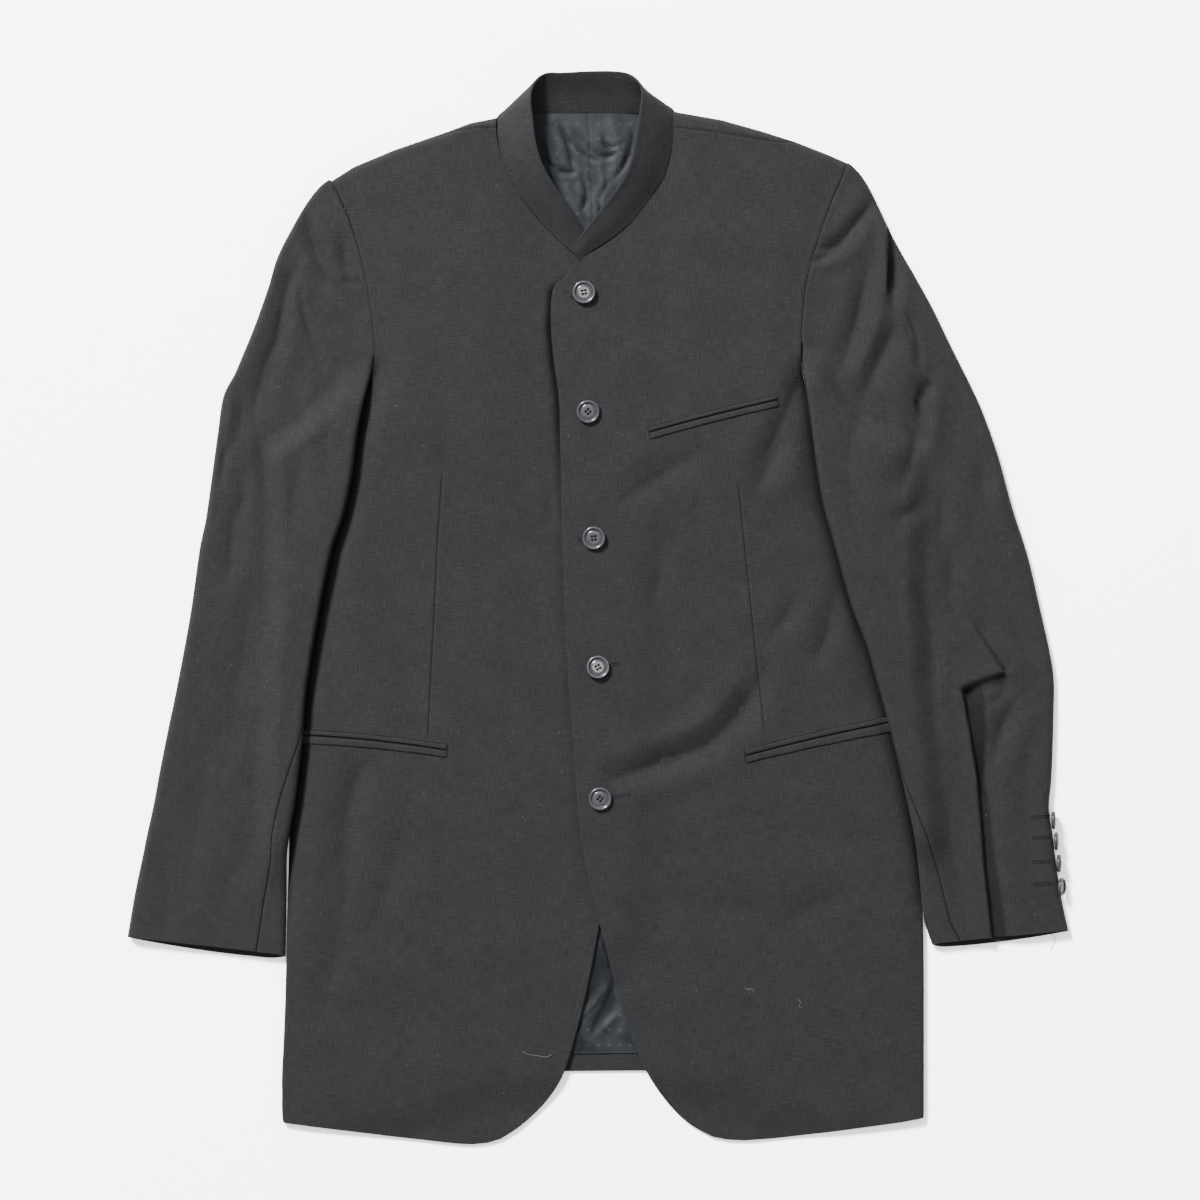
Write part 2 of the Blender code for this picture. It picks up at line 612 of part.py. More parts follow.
def sleeve_form(line, side, sleeve, inset):
    """One ring of a sleeve, its top and its bottom from the inner edge to the outer one."""
    samples = 90
    ride = sleeve["ride"]
    at_armhole = line["inner_y"] >= ride["start_y"] - 0.5
    span = np.array([line["outer_x"] - line["inner_x"], line["outer_y"] - line["inner_y"]])
    width = float(np.hypot(*span))
    start = (ARMHOLE_GAP if at_armhole else inset) / width
    share = 0.5 - 0.5 * np.cos(np.linspace(0.0, math.pi, samples))
    across = start + (1.0 - inset / width - start) * share
    x = line["inner_x"] + span[0] * across
    y = line["inner_y"] + span[1] * across
    reach = across * width
    roll = min(SLEEVE_ROLL, 0.42 * width) - inset
    closed = quarter(width - inset - reach, roll)
    height = SLEEVE_HEIGHT * np.ones(samples)
    if at_armhole:
        seam_height = float(front_surface(np.array([x[0]]), np.array([y[0]]), side)[0])
        height = SLEEVE_HEIGHT + (seam_height - SLEEVE_HEIGHT) * (1.0 - ease(reach / 26.0))
    else:
        closed = closed * quarter(reach - inset, roll)
    middle = sleeve_rest(x, y, sleeve["body_rows"], side, ride) + 0.5 * height
    half = (0.5 * height - inset) * closed
    relief = fold_relief(x, y, sleeve["folds"]) * closed
    top = np.stack([x, y, middle + half + relief], axis=-1)
    bottom = np.stack([x, y, middle - half], axis=-1)
    return top, bottom[::-1], at_armhole


def path_travel(points):
    """How far along a path each of its points lies."""
    steps = np.linalg.norm(np.diff(points, axis=0), axis=1)
    return np.concatenate([[0.0], np.cumsum(steps)])


def matching_points(outside, inside, wanted):
    """Points of an outside path at wanted distances along it, and of the inside path that goes with it."""
    numbers = np.arange(len(outside))
    at = np.interp(wanted, path_travel(outside), numbers)
    return [np.stack([np.interp(at, numbers, path[:, axis]) for axis in range(3)], axis=-1)
            for path in (outside, inside)]


def spread(start, end, middle):
    """Distances along a path: close together on the rolled edges at both ends, and the middle's shares."""
    length = end - start
    near = np.minimum(EDGE_STEPS, 0.4 * length * EDGE_STEPS / EDGE_STEPS[-1])
    between = near[-1] + (length - 2.0 * near[-1]) * np.asarray(middle)
    return start + np.concatenate([near, between, length - near[::-1]])


def landing_distances(bottom, side, sleeve):
    """Shares of an underside at which it leaves the surface and at which it lies on the body."""
    rest = sleeve_rest(bottom[:, 0], bottom[:, 1], sleeve["body_rows"], side, sleeve["ride"])
    if rest.max() < 1.0:
        return EVEN_LANDING
    share = path_travel(bottom) / path_travel(bottom)[-1]
    leaves = float(np.clip(share[np.argmax(rest > 0.03 * rest.max())], 0.06, 0.82))
    lies = float(np.clip(share[np.argmax(rest > 0.97 * rest.max())], leaves + 0.05, 0.92))
    return np.array([leaves, 0.5 * (leaves + lies), lies])


def build_sleeve(side, sleeve, collection):
    """A sleeve's upper and under pieces, meeting at the hind seam outside and the front seam on top."""
    prefix = "right_sleeve" if side < 0 else "left_sleeve"
    rows = sleeve["rows"]
    lines = smooth_table(rows, row_numbers(len(rows["inner_x"]), sleeve["extra_rows"]))
    columns = np.linspace(0.0, 1.0, sleeve["columns"] + 2)[1:-1]
    half_gap = 0.5 * SEAM_GAP
    upper, under = [], []
    for number in range(len(lines["inner_x"])):
        line = {name: float(values[number]) for name, values in lines.items()}
        top, bottom, at_armhole = sleeve_form(line, side, sleeve, 0.0)
        inner_top, inner_bottom = sleeve_form(line, side, sleeve, SLEEVE_WALL)[:2]
        top_length = path_travel(top)[-1]
        bottom_length = path_travel(bottom)[-1]
        seam = 0.0 if at_armhole else max(line["front_seam"], SEAM_REACH)
        upper_start = 0.0 if at_armhole else seam + half_gap
        upper.append(matching_points(top, inner_top, spread(upper_start, top_length - half_gap, columns)))
        landing = landing_distances(bottom, side, sleeve)
        if at_armhole:
            under_at = spread(half_gap, bottom_length - SEAM_REACH, landing)
            beyond = np.linspace(0.0, SEAM_REACH, 4)[1:]
            under.append(matching_points(bottom, inner_bottom, np.concatenate([under_at, under_at[-1] + beyond])))
        else:
            around = np.concatenate([bottom, top[1:]])
            inner_around = np.concatenate([inner_bottom, inner_top[1:]])
            under_at = spread(half_gap, bottom_length, landing)
            beyond = np.linspace(0.0, seam - FRONT_SEAM_GAP, 4)[1:]
            wanted = np.concatenate([under_at, bottom_length + beyond])
            under.append(matching_points(around, inner_around, wanted))
    for name, rings in ((prefix + "_upper", upper), (prefix + "_under", under)):
        outside = np.array([ring[0] for ring in rings])
        inside = np.array([ring[1] for ring in rings])
        if rings is under:
            hem = np.linspace(0.0, 1.0, outside.shape[1])
            drop = UNDER_HEM_DROP * np.sin(math.pi * np.clip(hem / 0.8, 0.0, 1.0))
            outside[-1, :, 1] -= drop
            inside[-1, :, 1] -= drop
        add_object(name, shell_mesh(name, outside, inside), "wool", collection)


def build_collar(collection):
    """The band: straight lines from its seam to its free edge, walled on both sides of them."""
    count = len(COLLAR_SECTIONS["seam_x"])
    lines = smooth_table(COLLAR_SECTIONS, row_numbers(count, np.arange(7.5, 11.5).tolist() + [15.5, 16.5, 17.5]))
    across = np.array([0.07, 0.35, 0.67, 1.0])
    points = []
    for axis in "xyz":
        seam, edge = lines["seam_" + axis][:, None], lines["edge_" + axis][:, None]
        points.append(seam + (edge - seam) * across)
    piece = add_object("collar", grid_mesh("collar", np.stack(points, axis=-1)), "wool", collection)
    wall = piece.modifiers.new("wall", "SOLIDIFY")
    wall.thickness = COLLAR_WALL * MM
    wall.offset = 0.0
    wall.use_even_offset = False


def build_lining(name, rows, collection):
    """A lining where it shows: a thin flat sheet on the back."""
    x, y = outline_columns(smooth_table(rows, row_numbers(len(rows["side_x"]), ())), np.linspace(0.0, 1.0, 5))
    bottom = np.full(x.shape, LINING_BASE)
    add_object(name, layer_mesh(name, x, y, bottom + LINING_WALL, bottom), "lining", collection)


def surface_of(piece):
    """A finished piece's surface, to set other pieces on."""
    bpy.context.view_layer.update()
    depsgraph = bpy.context.evaluated_depsgraph_get()
    return BVHTree.FromObject(piece, depsgraph)


def height_on(surface, x, y):
    """Height in millimetres of a piece's top at a point in plan."""
    hit = surface.ray_cast(Vector((x * MM, y * MM, 0.1)), Vector((0.0, 0.0, -1.0)))
    return hit[0].z / MM


def build_pocket(pocket, panel, collection):
    """Two jets, one above and one below the pocket's mouth, made on the panel's points."""
    surface = surface_of(panel)
    along = np.linspace(0.0, 1.0, JET_SEGMENTS + 1)
    (x0, y0), (x1, y1) = pocket["start"], pocket["end"]
    length = math.hypot(x1 - x0, y1 - y0)
    up_x, up_y = -(y1 - y0) / length, (x1 - x0) / length
    if up_y < 0.0:
        up_x, up_y = -up_x, -up_y
    bow = -pocket["bow"] * 4.0 * along * (1.0 - along)
    mouth_x = x0 + (x1 - x0) * along + bow * up_x
    mouth_y = y0 + (y1 - y0) * along + bow * up_y
    for jet, sign in (("upper", 1.0), ("lower", -1.0)):
        first, last = pocket[jet]
        width = first + (last - first) * along
        near = sign * MOUTH_HALF_GAP
        far = sign * width
        x = np.stack([mouth_x + near * up_x, mouth_x + far * up_x], axis=0)
        y = np.stack([mouth_y + near * up_y, mouth_y + far * up_y], axis=0)
        bottom = np.array([[height_on(surface, px, py) for px, py in zip(line_x, line_y)]
                           for line_x, line_y in zip(x, y)]) + REST_GAP
        name = pocket["name"] + "_" + jet + "_jet"
        add_object(name, layer_mesh(name, x, y, bottom + JET_WALL, bottom), "wool", collection)


def turned_button(radius, height, guides):
    """A turned button with a raised rim, a groove and four sewing holes."""
    outline = bmesh.new()
    points = [outline.verts.new((r * radius * MM, 0.0, h * height * MM))
              for r, h in zip(BUTTON_PROFILE["radius"], BUTTON_PROFILE["height"])]
    for first, second in zip(points[:-1], points[1:]):
        outline.edges.new((first, second))
    mesh = bpy.data.meshes.new("button_profile")
    outline.to_mesh(mesh)
    outline.free()
    blank = bpy.data.objects.new("button_blank", mesh)
    guides.objects.link(blank)
    screw = blank.modifiers.new("turn", "SCREW")
    screw.steps = BUTTON_STEPS
    screw.render_steps = BUTTON_STEPS
    screw.use_merge_vertices = True
    screw.merge_threshold = 0.00001
    drill = bmesh.new()
    for corner in range(4):
        angle = math.radians(45.0 + 90.0 * corner)
        place = Matrix.Translation((BUTTON_HOLE_PITCH * radius * math.cos(angle) * MM,
                                    BUTTON_HOLE_PITCH * radius * math.sin(angle) * MM,
                                    0.35 * height * MM))
        bmesh.ops.create_cone(drill, cap_ends=True, segments=6, radius1=BUTTON_HOLE_RADIUS * radius * MM,
                              radius2=BUTTON_HOLE_RADIUS * radius * MM, depth=2.0 * height * MM, matrix=place)
    drill_mesh = bpy.data.meshes.new("button_drill")
    drill.to_mesh(drill_mesh)
    drill.free()
    cutter = bpy.data.objects.new("button_drill", drill_mesh)
    cutter.hide_render = True
    cutter.display_type = "WIRE"
    guides.objects.link(cutter)
    holes = blank.modifiers.new("holes", "BOOLEAN")
    holes.operation = "DIFFERENCE"
    holes.solver = "EXACT"
    holes.object = cutter
    bpy.context.view_layer.update()
    finished = bpy.data.meshes.new_from_object(blank.evaluated_get(bpy.context.evaluated_depsgraph_get()))
    bpy.data.objects.remove(blank)
    bpy.data.objects.remove(cutter)
    return finished


def build_front_buttons(panel, collection, guides):
    """Five buttons down the closing, lying on the left front."""
    surface = surface_of(panel)
    mesh = turned_button(FRONT_BUTTON_RADIUS, FRONT_BUTTON_HEIGHT, guides)
    for number, (x, y) in enumerate(FRONT_BUTTONS, start=1):
        around = [height_on(surface, x + FRONT_BUTTON_RADIUS * math.cos(angle),
                            y + FRONT_BUTTON_RADIUS * math.sin(angle))
                  for angle in np.linspace(0.0, 2.0 * math.pi, 13)[:-1]]
        rest = max(around + [height_on(surface, x, y)]) + REST_GAP
        name = "front_button_%d" % number
        piece = add_object(name, mesh if number == 1 else mesh.copy(), "button", collection)
        piece.location = (x * MM, y * MM, rest * MM)


def build_cuff_buttons(collection, guides):
    """Four buttons on the rolled outer edge of the left cuff, leaning out from upright."""
    mesh = turned_button(CUFF_BUTTON_RADIUS, CUFF_BUTTON_HEIGHT, guides)
    rows = LEFT_SLEEVE_ROWS
    half = 0.5 * SLEEVE_HEIGHT
    for number, (y, lean_degrees) in enumerate(zip(*CUFF_BUTTONS.values()), start=1):
        lean = math.radians(lean_degrees)
        out_x, out_z = math.cos(lean), math.sin(lean)
        edge_x = float(np.interp(-y, -rows["outer_y"], rows["outer_x"])) + 0.6
        touch = math.atan2(math.sin(lean) * half, math.cos(lean) * SLEEVE_ROLL)
        touch_x = edge_x - SLEEVE_ROLL + SLEEVE_ROLL * math.cos(touch)
        touch_z = half + half * math.sin(touch)
        reach = out_x * touch_x + out_z * touch_z + REST_GAP
        x = (reach - out_z * CUFF_BUTTON_CENTRE_Z) / out_x
        name = "cuff_button_%d" % number
        piece = add_object(name, mesh if number == 1 else mesh.copy(), "button", collection)
        turn = Matrix.Rotation(0.5 * math.pi - lean, 4, "Y")
        piece.matrix_world = Matrix.Translation((x * MM, y * MM, CUFF_BUTTON_CENTRE_Z * MM)) @ turn


def clear_scene():
    """Start from an empty scene."""
    for leftover in list(bpy.data.objects):
        bpy.data.objects.remove(leftover)


def new_collection(name):
    """A collection in the scene for one kind of object."""
    collection = bpy.data.collections.new(name)
    bpy.context.scene.collection.children.link(collection)
    return collection


def main():
    clear_scene()
    parts = new_collection(OBJECT_NAME)
    guides = new_collection("cutters")
    build_back(parts)
    build_lining("neck_lining", NECK_LINING_ROWS, parts)
    build_lining("hem_lining", HEM_LINING_ROWS, parts)
    fronts = {
        "right_front": build_front("right_front", RIGHT_FRONT_ROWS, -1, parts),
        "left_front": build_front("left_front", LEFT_FRONT_ROWS, 1, parts),
    }
    build_collar(parts)
    for side, sleeve in SLEEVES.items():
        build_sleeve(side, sleeve, parts)
    for pocket in POCKETS:
        build_pocket(pocket, fronts[pocket["panel"]], parts)
    build_front_buttons(fronts["left_front"], parts, guides)
    build_cuff_buttons(parts, guides)


main()
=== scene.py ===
import math

import bmesh
import bpy
import numpy as np
from mathutils import Matrix, Vector
from mathutils.bvhtree import BVHTree


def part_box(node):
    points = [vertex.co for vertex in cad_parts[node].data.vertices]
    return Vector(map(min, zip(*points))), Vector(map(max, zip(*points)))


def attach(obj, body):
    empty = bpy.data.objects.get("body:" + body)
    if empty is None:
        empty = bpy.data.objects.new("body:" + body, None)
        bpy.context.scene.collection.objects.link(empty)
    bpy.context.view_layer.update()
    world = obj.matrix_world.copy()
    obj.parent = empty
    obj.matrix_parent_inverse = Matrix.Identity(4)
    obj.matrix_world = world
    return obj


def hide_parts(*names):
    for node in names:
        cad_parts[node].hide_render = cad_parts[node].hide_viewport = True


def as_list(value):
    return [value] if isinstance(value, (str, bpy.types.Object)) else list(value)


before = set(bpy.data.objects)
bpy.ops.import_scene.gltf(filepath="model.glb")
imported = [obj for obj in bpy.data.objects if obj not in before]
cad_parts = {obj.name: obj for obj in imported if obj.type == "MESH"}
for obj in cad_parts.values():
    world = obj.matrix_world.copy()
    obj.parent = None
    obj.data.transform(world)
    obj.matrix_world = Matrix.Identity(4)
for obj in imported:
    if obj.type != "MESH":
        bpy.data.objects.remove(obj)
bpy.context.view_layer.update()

mm = 0.001
jacket = bpy.data.collections.new("jacket")
bpy.context.scene.collection.children.link(jacket)
print("frame loaded:", len(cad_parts), "nodes")


# Small helpers: all lengths below are in millimetres until a mesh is made

def tableOf(names, rows):  # named columns, one row for each section
    return dict(zip(names.split(), np.array(rows, dtype=float).T))


def ease(value):  # smooth step 3t^2 - 2t^3
    t = np.clip(value, 0.0, 1.0)
    return t * t * (3.0 - 2.0 * t)


def rollUp(distance, run):  # quarter ellipse, 0 on the edge and 1 past the run
    t = 1.0 - np.clip(distance / run, 0.0, 1.0)
    return np.sqrt(1.0 - t * t)


def bell(distance, width):  # gaussian exp(-(d/w)^2)
    return np.exp(-(distance / width) ** 2)


def smoothRows(table, at):  # every column read at fractional rows on a Catmull-Rom curve
    result = {}
    for name, values in table.items():
        last = len(values) - 1
        low = np.clip(np.floor(at).astype(int), 0, last - 1)
        t = at - low
        start, end = values[low], values[low + 1]
        slopeIn = 0.5 * (end - values[np.maximum(low - 1, 0)])
        slopeOut = 0.5 * (values[np.minimum(low + 2, last)] - start)
        result[name] = ((2 * t**3 - 3 * t**2 + 1) * start + (t**3 - 2 * t**2 + t) * slopeIn
                        + (3 * t**2 - 2 * t**3) * end + (t**3 - t**2) * slopeOut)
    return result


def runningSum(steps):  # distance travelled at every station, from 0
    return np.concatenate([[0.0], np.cumsum(steps)])


def rowsAt(table, travel, wanted):  # a table's columns at wanted distances along its rows
    return smoothRows(table, np.interp(wanted, travel, np.arange(len(travel))))


def stations(length, gap, near, far=None):  # distances: fine steps at both ends, even steps between
    far = near if far is None else far
    middle = np.linspace(near[-1], length - far[-1], max(3, int((length - near[-1] - far[-1]) / gap) + 2))
    return np.concatenate([near, middle[1:-1], length - np.array(far)[::-1]])


def pathDistance(x, y, path):  # distance to a path, and the share of the path that is nearest
    best = np.full(np.shape(x), 1.0e9)
    share = np.zeros(np.shape(x))
    runs = len(path) - 1
    for number, ((x0, y0), (x1, y1)) in enumerate(zip(path[:-1], path[1:])):
        runX, runY = x1 - x0, y1 - y0
        t = np.clip(((x - x0) * runX + (y - y0) * runY) / (runX**2 + runY**2), 0.0, 1.0)
        away = np.hypot(x - x0 - t * runX, y - y0 - t * runY)
        closer = away < best
        best = np.where(closer, away, best)
        share = np.where(closer, (number + t) / runs, share)
    return best, share


def arcThrough(x0, y0, xm, ym, x1, y1, count=9):  # quadratic curve through a start, middle and end
    t = np.linspace(0.0, 1.0, count)
    bendX, bendY = 2.0 * xm - 0.5 * (x0 + x1), 2.0 * ym - 0.5 * (y0 + y1)
    return list(zip((1 - t)**2 * x0 + 2 * t * (1 - t) * bendX + t**2 * x1,
                    (1 - t)**2 * y0 + 2 * t * (1 - t) * bendY + t**2 * y1))


def creaseRelief(x, y, creases):  # each: a bell with a sharper core across a bent line, with a soft bank
    relief = np.zeros(np.shape(x))
    for x0, y0, xm, ym, x1, y1, width, height in zip(*creases.values()):
        reach = 4.0 * width
        close = ((x > min(x0, xm, x1) - reach) & (x < max(x0, xm, x1) + reach)
                 & (y > min(y0, ym, y1) - reach) & (y < max(y0, ym, y1) + reach))
        away, share = pathDistance(x[close], y[close], arcThrough(x0, y0, xm, ym, x1, y1))
        taper = np.sin(math.pi * np.clip(0.06 + 0.88 * share, 0.0, 1.0)) ** 0.6
        core = 0.78 * bell(away, width) + 0.32 * bell(away, 0.36 * width)
        relief[close] += height * taper * (core - 0.3 * bell(away - 2.1 * width, 1.1 * width))
    return relief


def waves(x, y, seed, length, turn=0.0):  # a sum of five sines in scattered directions, about -1 to 1
    rng = np.random.default_rng(seed)
    total = np.zeros(np.shape(x))
    for _ in range(5):
        angle = turn + rng.uniform(-0.9, 0.9)
        pitch = length * rng.uniform(0.6, 1.7)
        total = total + np.sin((x * math.cos(angle) + y * math.sin(angle)) * 2 * math.pi / pitch
                               + rng.uniform(0.0, 6.28))
    return total / 3.2


# Meshes from grids

def cornerGrid(rows, columns, first=0):
    return first + np.arange(rows * columns).reshape(rows, columns)


def quadsOf(corner):  # a grid's faces, one for each cell
    return np.stack([corner[:-1, :-1], corner[:-1, 1:], corner[1:, 1:], corner[1:, :-1]],
                    axis=-1).reshape(-1, 4)


def tubeFaces(rings, sides, closed=False):  # faces of rings in a row, capped or joined end to end
    corner = cornerGrid(rings, sides)
    if closed:
        corner = np.vstack([corner, corner[:1]])
    after = np.roll(corner, -1, axis=1)
    faces = np.stack([corner[:-1], after[:-1], after[1:], corner[1:]], axis=-1).reshape(-1, 4).tolist()
    if not closed:
        faces += [corner[0].tolist()[::-1], corner[-1].tolist()]
    return faces


def every(count, step):  # every so many of a count, with the last one kept
    return np.array(sorted(set(range(0, count - 1, step)) | {count - 1}))


def ringOf(rows, columns):  # row and column numbers round a grid's border, side by side
    return [[(0, c) for c in range(columns)], [(r, columns - 1) for r in range(rows)],
            [(rows - 1, c) for c in range(columns - 1, -1, -1)], [(r, 0) for r in range(rows - 1, -1, -1)]]


def makePiece(name, points, faces, uv, seam, material):
    mesh = bpy.data.meshes.new(name)
    mesh.from_pydata((points * mm).tolist(), [], faces)
    mesh.update()
    layer = mesh.uv_layers.new(name="cloth")
    loopVertex = np.zeros(len(mesh.loops), dtype=np.int32)
    mesh.loops.foreach_get("vertex_index", loopVertex)
    layer.data.foreach_set("uv", (uv[loopVertex] * mm).astype(np.float32).ravel())
    # Per-point attribute for dark seam lines and painted shade, which the materials mix toward a dark colour
    shade = mesh.attributes.new("seam", "FLOAT", "POINT")
    shade.data.foreach_set("value", seam.astype(np.float32))
    work = bmesh.new()
    work.from_mesh(mesh)
    if work.calc_volume(signed=True) < 0.0:
        bmesh.ops.reverse_faces(work, faces=work.faces)
    work.to_mesh(mesh)
    work.free()
    mesh.shade_smooth()
    mesh.set_sharp_from_angle(angle=math.radians(48.0))
    mesh.materials.append(material)
    piece = bpy.data.objects.new(name, mesh)
    jacket.objects.link(piece)
    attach(piece, "root")
    return piece


# A walled sheet. Outside is a fine grid of points and inside the matching grid, of which only every
# step-th row and column is kept. The rim joins each kept step of the inside to its fine run outside.
def shellPiece(name, outside, inside, uv, seam, material, step):
    rows, columns = outside.shape[:2]
    keepRows, keepColumns = every(rows, step), every(columns, step)
    inner = inside[np.ix_(keepRows, keepColumns)]
    fine = cornerGrid(rows, columns)
    coarse = cornerGrid(len(keepRows), len(keepColumns), rows * columns)
    faces = quadsOf(fine).tolist() + quadsOf(coarse)[:, ::-1].tolist()
    fineSides = ringOf(rows, columns)
    coarseSides = ringOf(len(keepRows), len(keepColumns))
    for side, (fineSide, coarseSide) in enumerate(zip(fineSides, coarseSides)):
        kept = keepColumns if side % 2 == 0 else keepRows
        places = kept if side < 2 else (kept[-1] - kept[::-1])
        for number in range(len(coarseSide) - 1):
            run = [int(fine[place]) for place in fineSide[places[number]:places[number + 1] + 1]]
            back = [int(coarse[coarseSide[number + 1]]), int(coarse[coarseSide[number]])]
            faces.append(run[::-1] + back[::-1])
    points = np.concatenate([outside.reshape(-1, 3), inner.reshape(-1, 3)])
    uvAll = np.concatenate([uv.reshape(-1, 2), uv[np.ix_(keepRows, keepColumns)].reshape(-1, 2)])
    seamAll = np.concatenate([seam.reshape(-1), np.zeros(inner.shape[0] * inner.shape[1])])
    return makePiece(name, points, faces, uvAll, seamAll, material)


def stack(x, y, z):
    return np.stack([x, y, z], axis=-1)


def gridArea(points):  # the area of a grid of points, in square metres
    one = points[1:, :-1] - points[:-1, :-1]
    two = points[:-1, 1:] - points[:-1, :-1]
    return float(np.linalg.norm(np.cross(one, two), axis=-1).sum()) * mm * mm


def layCloth(name, flat, rests, outside):  # hides the frame part that a laid sheet replaces; its area and its rests are worked out but not kept
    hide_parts(name)
    gridArea(outside)
    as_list(rests)


def heightUnder(piece, x, y):  # how high a piece's top is at plan points
    mesh = piece.data
    tree = BVHTree.FromPolygons([v.co for v in mesh.vertices], [p.vertices for p in mesh.polygons])
    shape = np.shape(x)
    found = [tree.ray_cast(Vector((px * mm, py * mm, 0.1)), Vector((0, 0, -1)))[0]
             for px, py in zip(np.ravel(x), np.ravel(y))]
    return np.array([0.0 if hit is None else hit.z / mm for hit in found]).reshape(shape)


# Materials

def newGroup(name, inputs, outputs):
    tree = bpy.data.node_groups.new(name, "ShaderNodeTree")
    for label, kind, value in inputs:
        socket = tree.interface.new_socket(label, in_out="INPUT", socket_type=kind)
        if value is not None:
            socket.default_value = value
    for label, kind in outputs:
        tree.interface.new_socket(label, in_out="OUTPUT", socket_type=kind)
    return tree, tree.nodes.new("NodeGroupInput"), tree.nodes.new("NodeGroupOutput")


def addNode(tree, kind, **settings):
    node = tree.nodes.new("ShaderNode" + kind)
    for name, value in settings.items():
        setattr(node, name, value)
    return node


def mathNode(tree, operation, first, second=None, clamp=False):
    node = addNode(tree, "Math", operation=operation, use_clamp=clamp)
    for socket, value in zip(node.inputs, (first, second)):
        if value is None:
            continue
        if isinstance(value, (int, float)):
            socket.default_value = value
        else:
            tree.links.new(value, socket)
    return node.outputs[0]


def mapped(tree, vector, scale):
    mapping = addNode(tree, "Mapping")
    tree.links.new(vector, mapping.inputs["Vector"])
    mapping.inputs["Scale"].default_value = scale
    return mapping.outputs[0]


def noiseNode(tree, vector, scale, detail=2.0, roughness=0.5):
    node = addNode(tree, "TexNoise")
    node.inputs["Scale"].default_value = scale
    node.inputs["Detail"].default_value = detail
    node.inputs["Roughness"].default_value = roughness
    tree.links.new(vector, node.inputs["Vector"])
    return node.outputs["Fac"]


# Plain weave: over and under threads are sin(warp) * sin(weft), with slubs from stretched noise
def weaveGroup():
    tree, given, result = newGroup(
        "clothWeave",
        [("Vector", "NodeSocketVector", None), ("Threads", "NodeSocketFloat", 700.0),
         ("Slubs", "NodeSocketFloat", 0.5)],
        [("Thread", "NodeSocketFloat"), ("Mottle", "NodeSocketFloat"), ("Lint", "NodeSocketFloat")])
    split = addNode(tree, "SeparateXYZ")
    tree.links.new(given.outputs["Vector"], split.inputs[0])
    turns = []
    for axis in ("X", "Y"):
        phase = mathNode(tree, "MULTIPLY", split.outputs[axis], given.outputs["Threads"])
        turns.append(mathNode(tree, "SINE", phase))
    crossing = mathNode(tree, "MULTIPLY", turns[0], turns[1])
    warpSlub = noiseNode(tree, mapped(tree, given.outputs["Vector"], (2600.0, 90.0, 1.0)), 1.0, 2.0)
    weftSlub = noiseNode(tree, mapped(tree, given.outputs["Vector"], (90.0, 2600.0, 1.0)), 1.0, 2.0)
    slub = mathNode(tree, "SUBTRACT", mathNode(tree, "ADD", warpSlub, weftSlub), 1.0)
    slub = mathNode(tree, "MULTIPLY", slub, given.outputs["Slubs"])
    thread = mathNode(tree, "ADD", mathNode(tree, "MULTIPLY", crossing, 0.25), slub)
    tree.links.new(mathNode(tree, "ADD", thread, 0.5), result.inputs["Thread"])
    cloud = noiseNode(tree, given.outputs["Vector"], 38.0, 5.0, 0.62)
    tree.links.new(cloud, result.inputs["Mottle"])
    fluff = addNode(tree, "TexVoronoi", feature="F1")
    fluff.inputs["Scale"].default_value = 62.0
    tree.links.new(given.outputs["Vector"], fluff.inputs["Vector"])
    speck = mathNode(tree, "LESS_THAN", fluff.outputs["Distance"], 0.022)
    tree.links.new(speck, result.inputs["Lint"])
    return tree


def baseMaterial(name, colour, roughness):
    material = bpy.data.materials.new(name)
    material.use_nodes = True
    shader = material.node_tree.nodes["Principled BSDF"]
    shader.inputs["Base Color"].default_value = (*colour, 1.0)
    shader.inputs["Roughness"].default_value = roughness
    material.diffuse_color = (*colour, 1.0)
    return material, material.node_tree, shader


def mixColour(tree, factor, first, second):
    node = addNode(tree, "Mix", data_type="RGBA")
    node.clamp_factor = True
    tree.links.new(factor, node.inputs["Factor"])
    for socket, value in ((node.inputs["A"], first), (node.inputs["B"], second)):
        if isinstance(value, tuple):
            socket.default_value = (*value, 1.0)
        else:
            tree.links.new(value, socket)
    return node.outputs["Result"]


def weaveNode(tree, look):  # the weave on a piece's own cloth axes
    coords = addNode(tree, "UVMap", uv_map="cloth")
    group = addNode(tree, "Group")
    group.node_tree = weave
    group.inputs["Threads"].default_value = look["threads"]
    group.inputs["Slubs"].default_value = look["slubs"]
    tree.links.new(coords.outputs[0], group.inputs["Vector"])
    return coords, group


def clothTone(tree, group, look):  # thread and mottle shares together pick a tone from dark to light
    thread = mathNode(tree, "MULTIPLY", group.outputs["Thread"], look["threadShare"])
    mottle = mathNode(tree, "MULTIPLY", group.outputs["Mottle"], 1.0 - look["threadShare"])
    return mixColour(tree, mathNode(tree, "ADD", thread, mottle, clamp=True), look["dark"], look["light"])


def weaveBump(tree, shader, group, look):
    bump = addNode(tree, "Bump")
    bump.inputs["Strength"].default_value = look["bump"]
    bump.inputs["Distance"].default_value = look["bumpDepth"]
    tree.links.new(group.outputs["Thread"], bump.inputs["Height"])
    tree.links.new(bump.outputs[0], shader.inputs["Normal"])


# The near-black seam colour is mixed in for dark seam lines and for painted shade in fold hollows, beside
# the sleeves and along the closing edge
woolLook = {
    "dark": (0.0026, 0.0027, 0.0030), "light": (0.0118, 0.0119, 0.0124), "seam": (0.0004, 0.0004, 0.0005),
    "lint": (0.08, 0.08, 0.076), "roughness": 0.78, "threads": 5200.0, "slubs": 2.0, "threadShare": 0.55,
    "bump": 0.6, "bumpDepth": 0.0004, "sheen": 0.012, "sheenRoughness": 0.45, "specular": 0.05,
}


